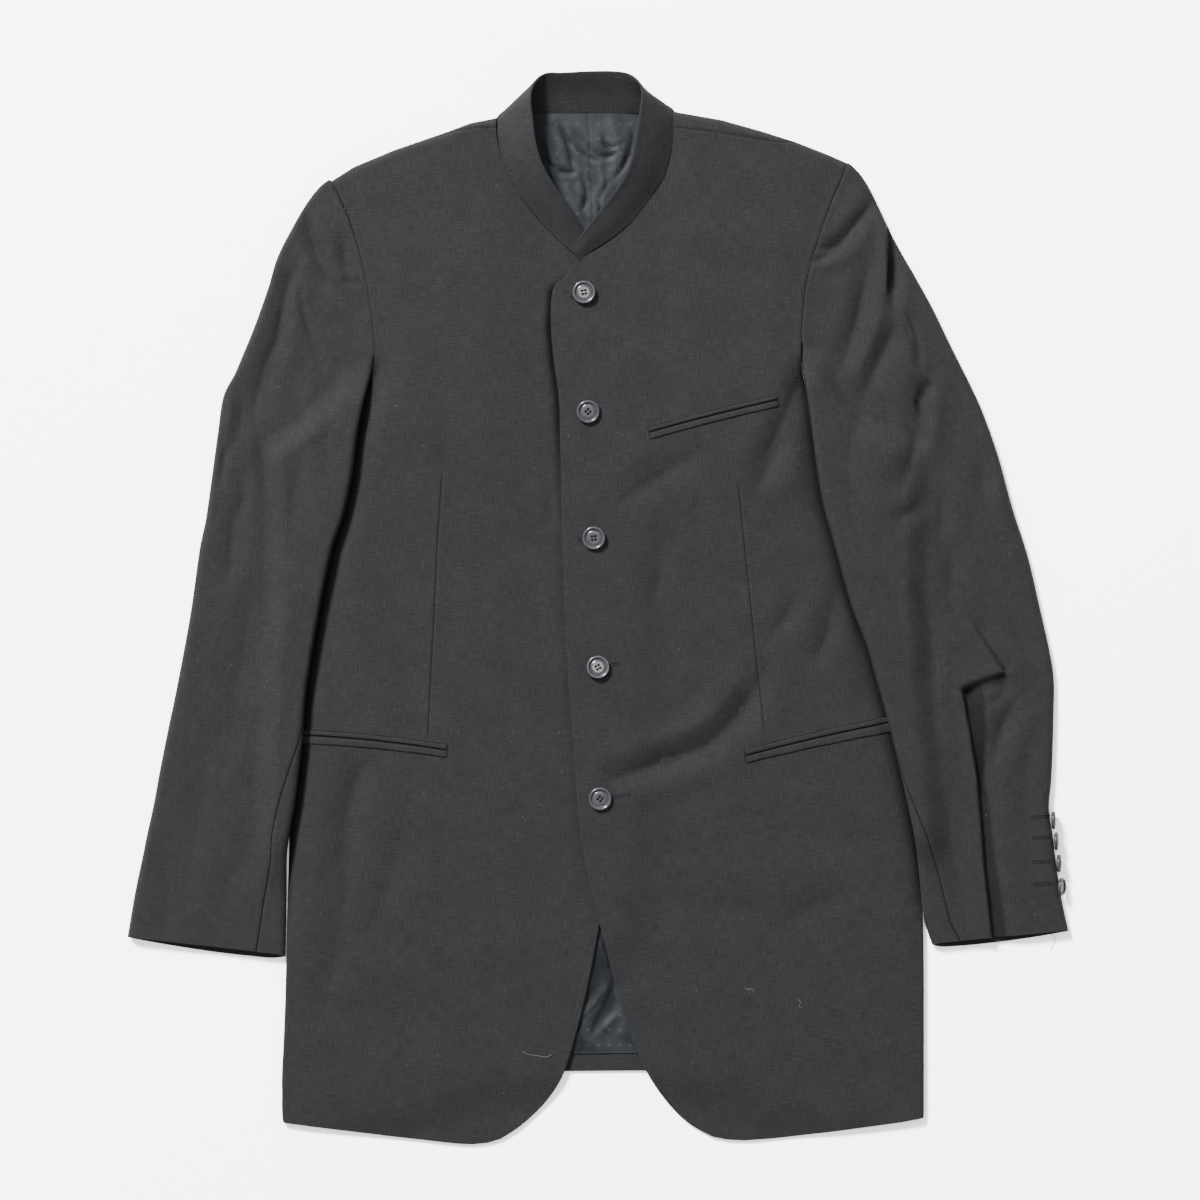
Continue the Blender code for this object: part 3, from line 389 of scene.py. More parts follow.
def woolMaterial(name, look):
    material, tree, shader = baseMaterial(name, look["dark"], look["roughness"])
    shader.inputs["Sheen Weight"].default_value = look["sheen"]
    shader.inputs["Sheen Roughness"].default_value = look["sheenRoughness"]
    shader.inputs["Specular IOR Level"].default_value = look["specular"]
    group = weaveNode(tree, look)[1]
    # Painted shade: this attribute darkens the cloth toward the near-black colour at seams and in shaded
    # hollows
    seam = addNode(tree, "Attribute", attribute_name="seam")
    seamed = mixColour(tree, seam.outputs["Fac"], clothTone(tree, group, look), look["seam"])
    finished = mixColour(tree, mathNode(tree, "MULTIPLY", group.outputs["Lint"], 0.5), seamed, look["lint"])
    tree.links.new(finished, shader.inputs["Base Color"])
    mottled = mathNode(tree, "MULTIPLY", group.outputs["Mottle"], 0.22)
    rough = mathNode(tree, "ADD", mottled, look["roughness"] - 0.11)
    tree.links.new(rough, shader.inputs["Roughness"])
    weaveBump(tree, shader, group, look)
    return material


weave = weaveGroup()
wool = woolMaterial("charcoalWool", woolLook)
# Painted shade: nearly black wool for the strip under the pocket jets
slitShadeLook = dict(woolLook, dark=(0.0008, 0.0008, 0.0009), light=(0.0016, 0.0016, 0.0018))
slitShadeWool = woolMaterial("pocketSlitShade", slitShadeLook)

liningLook = {
    "dark": (0.0010, 0.0013, 0.0018), "light": (0.0098, 0.0114, 0.0140), "square": (0.06, 0.066, 0.072),
    "roughness": 0.62, "threads": 7800.0, "slubs": 0.8, "threadShare": 0.35, "bump": 0.15,
    "bumpDepth": 0.0003, "sheen": 0.03, "specular": 0.08, "pattern": (("X", 9.0, 3.0), ("Y", 13.0, 2.6)),
}


# Jacquard lining: small plain squares in pairs on a satin ground, worked out from the cloth's own axes
def liningMaterial(look):
    material, tree, shader = baseMaterial("satinLining", look["light"], look["roughness"])
    shader.inputs["Sheen Weight"].default_value = look["sheen"]
    shader.inputs["Specular IOR Level"].default_value = look["specular"]
    coords, group = weaveNode(tree, look)
    split = addNode(tree, "SeparateXYZ")
    tree.links.new(coords.outputs[0], split.inputs[0])
    insides = []
    for axis, pitch, width in look["pattern"]:
        place = mathNode(tree, "MODULO", mathNode(tree, "ADD", split.outputs[axis], 1.0), pitch * mm)
        insides.append(mathNode(tree, "LESS_THAN", place, width * mm))
    square = mathNode(tree, "MULTIPLY", insides[0], insides[1])
    patterned = mixColour(tree, mathNode(tree, "MULTIPLY", square, 0.09), clothTone(tree, group, look),
                          look["square"])
    # Painted shade: this attribute darkens the satin toward the dark tone in creases and shadow, as well as
    # on the centre seam line
    seam = addNode(tree, "Attribute", attribute_name="seam")
    shaded = mixColour(tree, seam.outputs["Fac"], patterned, look["dark"])
    tree.links.new(shaded, shader.inputs["Base Color"])
    rough = mathNode(tree, "ADD", mathNode(tree, "MULTIPLY", square, 0.2), 0.6)
    tree.links.new(rough, shader.inputs["Roughness"])
    weaveBump(tree, shader, group, look)
    return material


lining = liningMaterial(liningLook)


def buttonMaterial(name, shine):  # polished dark horn: faint clouded streaks under a clear gloss
    material, tree, shader = baseMaterial(name, (0.010, 0.010, 0.011), 0.22)
    shader.inputs["Specular IOR Level"].default_value = shine
    shader.inputs["Coat Weight"].default_value = 0.2 * shine
    shader.inputs["Coat Roughness"].default_value = 0.08
    coords = addNode(tree, "TexCoord")
    cloud = noiseNode(tree, mapped(tree, coords.outputs["Object"], (320.0, 140.0, 320.0)), 1.0, 4.0, 0.6)
    streaked = mixColour(tree, cloud, (0.006, 0.006, 0.007), (0.024, 0.024, 0.026))
    tree.links.new(streaked, shader.inputs["Base Color"])
    rough = mathNode(tree, "ADD", mathNode(tree, "MULTIPLY", cloud, 0.16), 0.15)
    tree.links.new(rough, shader.inputs["Roughness"])
    return material


def threadMaterial(name, dark, light):  # twisted thread: fine slanting bands
    material, tree, shader = baseMaterial(name, dark, 0.75)
    shader.inputs["Specular IOR Level"].default_value = 0.1
    coords = addNode(tree, "TexCoord")
    twist = addNode(tree, "TexWave", wave_type="BANDS", bands_direction="DIAGONAL")
    twist.inputs["Scale"].default_value = 900.0
    twist.inputs["Distortion"].default_value = 1.5
    tree.links.new(coords.outputs["Object"], twist.inputs["Vector"])
    tree.links.new(mixColour(tree, twist.outputs["Fac"], dark, light), shader.inputs["Base Color"])
    return material


horn = buttonMaterial("polishedButton", 0.27)
cuffHorn = buttonMaterial("cuffButton", 0.1)
darkThread = threadMaterial("darkThread", (0.0012, 0.0012, 0.0014), (0.006, 0.006, 0.0066))
paleThread = threadMaterial("paleThread", (0.035, 0.035, 0.033), (0.08, 0.08, 0.076))
print("materials made")


# The body's form: the same sections as the frame's, read more finely

body = {
    "frontUnder": 3.95, "sideHeight": 6.5, "height": 6.9, "lift": 3.8, "chest": 3.6, "belly": 0.8,
    "hemHeight": 3.1, "hemUnder": 0.5, "sideRoll": 3.5, "sideSeam": 3.2, "sideRim": 0.75,
    "shoulderRoll": 7.0, "shoulderSeam": 4.2, "shoulderRim": 6.2, "armpitY": 126.0,
    "armpitFade": 14.0, "centreX": -8.0,
    "underEdgeX": 12.0, "gap": 0.35, "overlapGap": 0.75, "thinnest": 1.4, "press": 22.0,
    "neckX": {-1: 87.0, 1: 64.0}, "valley": 2.7, "hollow": 3.4, "crease": 1.55, "overlapEnd": 326.0,
    "shoulderRun": 75.0, "hemCurve": -408.0, "hemCurveRun": 42.0,
}
edgeX = body["underEdgeX"]
frontRows = {
    -1: tableOf("sideX sideY edgeX edgeY", [
        (-229, 368.5, -87.3, 423), (-222, 352, -86.9, 407), (-214, 334, -82.5, 388), (-204, 302, -71, 362),
        (-198, 275, -53, 337), (-193.7, 243, -24, 308), (-192, 219, 8, 282), (-197, 194, edgeX, 240),
        (-211, 170, edgeX, 202), (-232, 145, edgeX, 165), (-260, 126, edgeX, 130),
        (-257.5, 80, edgeX, 85), (-256, 8, edgeX, 5), (-261, -60, edgeX, -65),
        (-264.5, -121, edgeX, -125), (-265.5, -190, 11, -195),
        (-267, -240, 6, -243), (-268, -285, -2, -289), (-269, -330, -11, -333), (-270.5, -370, -21, -372),
        (-272, -400, -31, -402), (-272, -418, -46, -425), (-272, -431, -66, -444), (-271, -441.5, -84, -456),
    ]),
    1: tableOf("sideX sideY edgeX edgeY", [
        (214, 384, 64.5, 428.7), (208, 366, 64.5, 412), (201, 350, 62, 393), (190, 320, 55.5, 369),
        (183, 297, 41, 348), (177.5, 272, 11, 317.5), (175.2, 245, -21, 297), (174.8, 234, -26.5, 287),
        (174.6, 224, -38.5, 275), (175.4, 206, -40.4, 243), (179.5, 188, -37.8, 213), (191, 163, -33.5, 182),
        (212, 141, -32.6, 152),
        (255, 126, -32, 126), (254, 80, -31, 80), (254, 8, -28.6, 0), (258.5, -60, -25, -65),
        (264.5, -121, -20.7, -121), (271, -180, -16, -185), (276.5, -225, -7.5, -232),
        (279.5, -265, 0.5, -266), (280.3, -310, 12, -312), (280.4, -350, 23, -351),
        (280.4, -388, 37.5, -388.5), (280.4, -408, 48.5, -409),
        (280.4, -421, 64.5, -430), (280.4, -430, 81, -444.5), (280.2, -437.3, 99, -454.2),
    ]),
}
outlineTop = tableOf("x y", [
    (-229, 368.5), (-210, 380.6), (-175, 395.2), (-129, 411), (-110, 418.2), (-88, 422.6), (-68, 427),
    (-10, 428.2), (44, 428), (64.5, 428.3), (106, 421), (140, 411.5), (170, 402), (198, 391), (214, 384),
])
sleeveRows = {
    -1: tableOf("innerX innerY outerX outerY seamIn", [
        (-229.3, 368.6, -232, 369.6, 0), (-226.8, 361.8, -240, 363.2, 0), (-221.5, 351, -249, 352, 0),
        (-214, 334, -259.5, 335, 0),
        (-204, 302, -275.5, 304, 0), (-198, 275, -284, 276.5, 0), (-193.7, 243, -295.5, 244, 0),
        (-192, 219, -305.5, 219.5, 0), (-194.4, 203, -313, 202, 0), (-199, 184, -322.5, 183, 0),
        (-206, 150, -327.5, 150, 0),
        (-211, 113, -332.5, 113, 0), (-218.6, 79, -337.5, 78, 0), (-228, 51, -343, 51, 0),
        (-239.3, -4, -351, -5, 0), (-249.7, -68, -362.7, -68, 0), (-252.5, -103, -369.6, -101, 3),
        (-256.5, -140, -377, -138, 11), (-260.5, -170, -382.5, -168, 16), (-265, -196, -388, -193, 17),
        (-267.2, -216, -392, -213, 16), (-268, -250, -398.5, -244, 21), (-268.9, -297, -404.8, -281.5, 27),
    ]),
    1: tableOf("innerX innerY outerX outerY seamIn", [
        (214.2, 384, 216.6, 383.4, 0), (212.2, 377, 225.5, 374.8, 0), (208, 366, 233.5, 362.5, 0),
        (201, 350, 241.5, 346, 0), (190, 320, 256, 316, 0), (183, 297, 272, 288, 0),
        (177.5, 272, 288, 259, 0), (175.2, 245, 301, 232, 0), (174.6, 226, 310.5, 213, 0),
        (175.4, 208, 319, 196, 0),
        (178, 188, 330, 172, 0), (183.5, 150, 344, 133, 0),
        (191.6, 97, 357, 86, 0), (202, 58, 370, 45, 0), (217, 4, 381, -2, 0), (230, -30, 389, -38, 0),
        (238, -58, 392.3, -62, 0), (246, -86, 392, -90, 0), (253.5, -115, 391.3, -118, 0),
        (260.5, -144, 390, -147, 3), (266.5, -171, 388, -171, 8), (271.5, -195, 391, -193, 13),
        (275.6, -222, 394, -217, 18), (278.4, -250, 397.8, -243, 22), (281.2, -270, 401.5, -262, 24),
        (287.5, -287, 404.8, -276, 26),
    ]),
}
creaseColumns = "x0 y0 xm ym x1 y1 width height"
bodyCreases = {
    -1: tableOf(creaseColumns, [
        (-136, 146, -112, 105, -80, 52, 15, -1.7), (-80, 52, -60, 18, -42, -24, 13, -1.5),
        (-112, 150, -86, 108, -60, 60, 10, 0.7), (-88, -50, -58, -82, -24, -119, 13, -1.5),
        (-184, 8, -165, -48, -151, -90, 15, -1.3), (-198, -130, -214, -166, -217, -215, 11, -1.6),
        (-207, -147, -218, -250, -235, -343, 13, -1.3), (-168, -188, -179, -233, -198, -285, 14, -0.9),
        (-43, 100, -41, 87, -39, 74, 5, -0.9), (-143, 173, -135, 150, -129, 127, 13, -0.6),
        (-182, -404, -177, -415, -173, -426, 4, -0.7), (-166, -404, -162, -414, -158, -424, 3.5, 0.5),
        (-30, 268, -33, 240, -33, 205, 6, -0.9), (-236, 90, -226, 20, -232, -60, 12, -0.9),
        (-120, -330, -180, -350, -240, -340, 26, -0.5), (-60, 210, -90, 250, -130, 262, 22, -0.5),
    ]),
    1: tableOf(creaseColumns, [
        (140, -58, 120, -92, 92, -119, 11, -2.5), (96, -117, 58, -131, 16, -145, 10, -2.7),
        (120, -60, 96, -92, 60, -108, 10, 0.9), (83, 133, 49, 111, 19, 92, 12, -1.2),
        (55, 60, 53, 30, 48, 0, 9, -1.0), (203, 14, 198, -18, 189, -42, 9, -1.7),
        (161, 148, 149, 126, 134, 100, 10, -1.8), (174, 200, 156, 155, 142, 128, 10, -2.0),
        (170, 10, 162, -6, 150, -24, 8, -1.1), (150, -276, 184, -258, 217, -241, 18, -0.8),
        (0, 268, 15, 249, 28, 230, 11, -0.8), (24, 200, 32, 172, 36, 143, 10, -0.8),
        (238, 60, 226, 0, 232, -70, 12, -0.9), (60, -250, 120, -262, 190, -310, 24, -0.6),
        (105, 300, 120, 250, 100, 215, 24, -0.6), (160, -170, 200, -200, 250, -190, 18, -0.7),
    ]),
}
darts = {
    -1: [(-133, 123), (-138, 58), (-141, -11), (-144, -61), (-146, -108)],
    1: [(120, 114), (125, 65), (131, 8), (137, -50), (143, -103)],
}
shoulderSeams = {
    -1: [(-86, 414), (-106, 413.6), (-124, 411), (-140, 405.5)],
    1: [(64, 414.6), (95, 410.7), (129, 405.5), (152, 401.8), (170, 401)],
}


hemBows = {-1: [(0, 0.12, 0.5, 0.8, 0.87, 0.94, 1), (0, 1.4, 5.0, 6.9, 6.5, 4.2, 0)],
           1: [(0, 0.11, 0.45, 0.71, 0.85, 0.93, 1), (0, 2.4, 5.2, 6.3, 5.6, 3.6, 0)]}


def backHemY(x):  # the back's hem rises in the middle
    return -393.0 - 42.0 * ease((np.abs(x - 4.0) - 45.0) / 220.0)


def edgeAt(y, side):  # x of a front's edge at the closing; the right front's (-1) is hidden
    rows = frontRows[side]
    return np.interp(-y, -rows["edgeY"][7:], rows["edgeX"][7:])


def insideSleeve(x, y, side):  # how far a point is inside the sleeve's edge, towards the body
    sleeve = sleeveRows[side]
    return side * (np.interp(-y, -sleeve["innerY"], sleeve["innerX"]) - x)


def sidePath(side):  # the folded side from the armpit to the hem
    rows = frontRows[side]
    below = rows["sideY"] <= body["armpitY"] + 0.5
    return list(zip(rows["sideX"][below], rows["sideY"][below]))


def shoulderPath(side):  # the folded shoulder
    outer = outlineTop["x"] * side >= body["neckX"][side]
    return list(zip(outlineTop["x"][outer], outlineTop["y"][outer]))


# A front's top: a level, a chest swell and the overlap's lift, pressed down beside the sleeve
def frontHeight(x, y, side):
    rows = frontRows[side]
    away = ease((side * (x - body["centreX"]) - 25.0) / 70.0)
    armhole = pathDistance(x, y, list(zip(rows["sideX"][:9], rows["sideY"][:9])))[0]
    swell = body["chest"] * ease((y - 20.0) / 170.0) * away * (1.0 - 0.45 * (1.0 - ease(armhole / 30.0)))
    swell = swell + body["belly"] * away * ease((y + 380.0) / 150.0)
    inside = insideSleeve(x, y, side)
    pressed = 1.0 - (1.0 - ease(inside / body["press"])) * ease((222.0 - y) / 36.0)
    height = body["sideHeight"] + pressed * (body["height"] - body["sideHeight"] + swell)
    valley = ease((232.0 - y) / 40.0) * ease((y + 300.0) / 60.0) * (0.6 + 0.4 * ease((150.0 - y) / 60.0))
    height = height - body["valley"] * valley * bell(np.maximum(inside - 1.0, 0.0), 5.6)
    if side < 0:
        hollow = ease((290.0 - y) / 22.0) * (0.35 + 0.65 * ease((y - 120.0) / 70.0))
        hollow = hollow * ease((y + 330.0) / 200.0)
        height = height - body["hollow"] * hollow * bell(np.minimum(x - edgeAt(y, 1) - 1.0, 0.0), 4.6)
    if side > 0:
        lift = body["lift"] * ease((edgeAt(y, -1) + 52.0 - x) / 40.0)
        height = height + lift * ease((y + body["overlapEnd"]) / 50.0)
    supported = ease((y - backHemY(x) + 40.0) / 36.0)
    return body["hemHeight"] + supported * (height - body["hemHeight"]), supported


def frontRoll(x, y, side):  # 0 on the folded outline, 1 inside it
    below = ease((body["armpitY"] - y) / body["armpitFade"])
    atSide = 1.0 - (1.0 - rollUp(pathDistance(x, y, sidePath(side))[0], body["sideRoll"])) * below
    return atSide, rollUp(pathDistance(x, y, shoulderPath(side))[0], body["shoulderRoll"])


def frontTop(x, y, side, detail=True):
    height = frontHeight(x, y, side)[0]
    atSide, atShoulder = frontRoll(x, y, side)
    rim = body["sideRim"] * height
    rolled = rim + (height - rim) * atSide
    rolled = body["shoulderRim"] + (rolled - body["shoulderRim"]) * atShoulder
    if not detail:
        return rolled
    relief = body["crease"] * creaseRelief(x, y, bodyCreases[side])
    relief = relief + 0.4 * waves(x, y, 11 + side, 90.0, 1.0) + 0.1 * waves(x, y, 21 + side, 34.0, 0.4)
    return rolled + relief * atSide * atShoulder


def frontUnder(x, y, side, top):
    height, supported = frontHeight(x, y, side)
    atSide, atShoulder = frontRoll(x, y, side)
    under = body["frontUnder"] + 0.36 * np.maximum(height - body["height"], 0.0)
    under = np.maximum(np.minimum(under, height - 2.4), 2.55)
    if side > 0:
        over = ease((edgeAt(y, -1) + 42.0 - x) / 14.0) * ease((y + body["overlapEnd"]) / 40.0)
        under = under + over * (body["height"] + body["overlapGap"] - under)
    under = np.minimum(under, top - body["thinnest"])
    rim = body["sideSeam"] + body["gap"]
    under = rim + (under - rim) * atSide
    shoulder = body["shoulderSeam"] + body["gap"]
    under = shoulder + (under - shoulder) * atShoulder
    return body["hemUnder"] + supported * (under - body["hemUnder"])


fronts = {
    "right_front": {"side": -1, "width": 270.0, "gap": 2.7, "rowGap": 2.9, "dartShare": 0.46,
                    "flat": (0.290, 0.886), "rests": ["back"]},
    "left_front": {"side": 1, "width": 290.0, "gap": 2.7, "rowGap": 2.9, "dartShare": 0.46,
                   "flat": (0.325, 0.888), "rests": ["back", "right_front"]},
}
edgeSteps = np.array([0.0, 0.25, 0.6, 1.1, 1.8, 2.8, 4.2])
seamSteps = np.array([-4.0, -2.4, -1.4, -0.8, -0.4, 0.0, 0.4, 0.8, 1.4, 2.4, 4.0])


# A front: straight rows from side to closing edge. The columns slide so that one of them follows the dart,
# and the seams are narrow bells cut into the height.
def makeFront(name, plan):
    side, rows = plan["side"], frontRows[plan["side"]]
    steps = 0.5 * (np.hypot(np.diff(rows["sideX"]), np.diff(rows["sideY"]))
                   + np.hypot(np.diff(rows["edgeX"]), np.diff(rows["edgeY"])))
    travel = runningSum(steps)
    shoulderSteps = np.concatenate([edgeSteps, np.arange(5.2, 24.0, 1.0)])
    down = stations(travel[-1], plan["rowGap"], shoulderSteps, edgeSteps)
    line = rowsAt(rows, travel, down)
    flat = stations(plan["width"], plan["gap"], edgeSteps)
    dartAt = plan["dartShare"] * plan["width"]
    flat = np.sort(np.concatenate([flat[np.abs(flat - dartAt) > 5.0], dartAt + seamSteps]))
    sideX, sideY, frontX, frontY = [line[key][:, None] for key in ("sideX", "sideY", "edgeX", "edgeY")]
    dart = darts[side]
    dartX, dartY = np.array(dart)[::-1].T
    share = np.full(sideX.shape, plan["dartShare"])
    for _ in range(3):
        rowY = sideY + (frontY - sideY) * share
        share = np.clip((np.interp(rowY, dartY, dartX) - sideX) / (frontX - sideX), 0.2, 0.72)
    u = flat / plan["width"]
    across = np.where(u < plan["dartShare"], share * u / plan["dartShare"],
                      share + (1.0 - share) * (u - plan["dartShare"]) / (1.0 - plan["dartShare"]))
    x = sideX + (frontX - sideX) * across
    chord = sideY + (frontY - sideY) * across
    tipY = np.interp(x, outlineTop["x"], outlineTop["y"])
    firstX, firstY = x[0], chord[0]
    rise = np.interp(x, np.sort(firstX), (tipY[0] - firstY)[np.argsort(firstX)])
    y = chord + np.maximum(rise, 0.0) * (1.0 - ease((rows["sideY"][0] - sideY) / body["shoulderRun"]))
    bowed = np.interp(across, *hemBows[side])
    y = y - bowed * ease((body["hemCurve"] - chord) / body["hemCurveRun"])
    top = frontTop(x, y, side)
    plainTop = top.copy()
    fromDart = np.broadcast_to(flat - dartAt, x.shape)
    along = ease((dart[0][1] - y) / 14.0) * ease((y - dart[-1][1] + 3.0) / 4.0)
    pucker = 1.0 + 0.5 * np.sin(y / 4.7) * np.sin(y / 11.3)
    top = top - along * (0.5 * bell(fromDart, 0.6) - 0.26 * pucker * bell(np.abs(fromDart) - 2.6, 1.7))
    seam = 0.6 * along * bell(fromDart, 0.42)
    shoulderGap = pathDistance(x, y, shoulderSeams[side])[0]
    top = top - 0.45 * bell(shoulderGap, 0.9) + 0.16 * bell(shoulderGap - 2.4, 1.4)
    seam = np.maximum(seam, 0.55 * bell(shoulderGap, 0.7))
    fromSide = across * np.hypot(frontX - sideX, frontY - sideY)
    fromEdge = (1.0 - across) * np.hypot(frontX - sideX, frontY - sideY)
    fromHem = np.broadcast_to((down[-1] - down)[:, None], x.shape)
    atArmhole = ease((y - 150.0) / 30.0)
    top = top - atArmhole * (0.9 * (1.0 - rollUp(fromSide, 1.7)) - 0.25 * bell(fromSide - 3.2, 2.0))
    seam = np.maximum(seam, 0.4 * atArmhole * bell(fromSide, 0.6))
    top = top - 0.4 * (1.0 - rollUp(fromEdge, 0.9)) - 0.6 * (1.0 - rollUp(fromHem, 1.3))
    top = top - 0.1 * bell(fromEdge - 6.2, 1.2)
    if side < 0:
        # Painted shade on the right front beside the left front's closing edge, standing in for the shadow
        # gap under it
        shade = bell(np.minimum(x - edgeAt(y, 1) + 1.5, 0.0), 2.8) * ease((285.0 - y) / 14.0)
        seam = np.maximum(seam, 0.85 * (shade * ease((y - 60.0) / 120.0)))
    # Painted shade on the front along the sleeve's inner edge, where the crevice lies in shadow
    shadeBesideSleeve = bell(np.maximum(insideSleeve(x, y, side) - 0.5, 0.0), 3.4) * ease((225.0 - y) / 20.0)
    seam = np.maximum(seam, 0.9 * (shadeBesideSleeve * ease((y + 285.0) / 60.0)))
    under = np.minimum(frontUnder(x, y, side, plainTop), top - 0.5)
    outside = stack(x, y, top)
    piece = shellPiece(name, outside, stack(x, y, under), np.stack([x, y], axis=-1), seam, wool, 5)
    layCloth(name, plan["flat"], plan["rests"], outside)
    return piece


frontPieces = {name: makeFront(name, plan) for name, plan in fronts.items()}
print("fronts made")


# The back: rows across the whole body, flat on the floor, turned up at the folded sides and shoulders.
# Its underside carries the centre seam and the creases that the cloth lies on.
backPlan = {"width": 530.0, "wall": 2.2, "rim": 1.5, "gap": 3.6, "flat": (0.555, 0.862),
            "shoulderRun": 190.0, "hemFrom": -300.0, "hemRun": 118.0}


def makeBack(plan):
    left, right = frontRows[-1], frontRows[1]
    travel = runningSum(np.abs(np.diff(left["sideY"])) + 0.4 * np.abs(np.diff(left["sideX"])))
    down = stations(travel[-1], plan["gap"], np.array([0.0, 0.4, 1.0, 1.9, 3.0, 4.6, 7.0]), edgeSteps)
    at = np.interp(down, travel, np.arange(len(travel)))
    leftLine = smoothRows(left, at)
    rightAt = np.interp(-leftLine["sideY"], -right["sideY"], np.arange(len(right["sideY"])))
    rightAt = np.where(at < 3.0, at + (rightAt - at) * ease(at / 3.0), rightAt)
    rightLine = smoothRows(right, rightAt)
    flat = stations(plan["width"], plan["gap"], edgeSteps)
    centre = 0.5 * plan["width"]
    flat = np.sort(np.concatenate([flat[np.abs(flat - centre) > 5.0], centre + seamSteps]))
    across = flat / plan["width"]
    x = leftLine["sideX"][:, None] + (rightLine["sideX"] - leftLine["sideX"])[:, None] * across
    chord = leftLine["sideY"][:, None] + (rightLine["sideY"] - leftLine["sideY"])[:, None] * across
    topX, topY = outlineTop["x"], outlineTop["y"]
    slope = (topY[-1] - topY[0]) / (topX[-1] - topX[0])
    rise = np.interp(x, topX, topY) - (topY[0] + (x - topX[0]) * slope)
    y = chord + rise * (1.0 - ease((topY[0] - leftLine["sideY"]) / plan["shoulderRun"]))[:, None]
    y = y + ease((plan["hemFrom"] - chord) / plan["hemRun"]) * (backHemY(x) - backHemY(x[:, :1]))
    atSide, atShoulder = np.zeros(x.shape), np.zeros(x.shape)
    for side in (-1, 1):
        turned = 1.0 - rollUp(pathDistance(x, y, sidePath(side))[0], body["sideRoll"])
        atSide = np.maximum(atSide, turned * ease((body["armpitY"] - y) / body["armpitFade"]))
        atShoulder = np.maximum(atShoulder, 1.0 - rollUp(pathDistance(x, y, shoulderPath(side))[0],
                                                         body["shoulderRoll"]))
    sideTop, shoulderTop = body["sideSeam"] - body["gap"], body["shoulderSeam"] - body["gap"]
    wall, rim = plan["wall"], plan["rim"]
    top = wall + np.maximum(atSide * (sideTop - wall), atShoulder * (shoulderTop - wall))
    under = np.maximum(atSide * (sideTop - rim), atShoulder * (shoulderTop - rim))
    fromSeam = np.broadcast_to(flat - centre, x.shape)
    under = under + 0.55 * bell(fromSeam, 0.6)
    under = under + np.clip(creaseRelief(x, y, backCreases), 0.0, 0.9)
    fromHem = np.broadcast_to((down[-1] - down)[:, None], x.shape)
    under = under + 0.7 * (1.0 - rollUp(fromHem, 1.5))
    under = np.minimum(under, top - 0.7)
    seam = 0.9 * bell(fromSeam, 0.45)
    outside = stack(x, y, under)
    piece = shellPiece("back", outside, stack(x, y, top), np.stack([x, y], axis=-1), seam, wool, 3)
    layCloth("back", plan["flat"], ["floor"], outside)


backCreases = tableOf(creaseColumns, [
    (-150, 300, -90, 260, -20, 270, 9, 1.0), (40, 250, 90, 215, 150, 230, 8, 0.9),
    (-200, 60, -150, 20, -90, 10, 10, 1.1), (190, 40, 140, -10, 80, -20, 9, 1.0),
    (-180, -120, -120, -160, -60, -150, 11, 0.9), (60, -180, 130, -210, 200, -190, 10, 1.0),
    (-120, -300, -60, -320, -10, -310, 12, 0.8), (30, 120, 60, 60, 40, 0, 9, 0.8),
    (-60, 140, -80, 90, -60, 40, 9, 0.8), (120, -330, 170, -350, 230, -340, 12, 0.8),
])
makeBack(backPlan)
print("back made")


# Sleeves: rings between the inner and the outer edge, each a flat loop with rolled edges

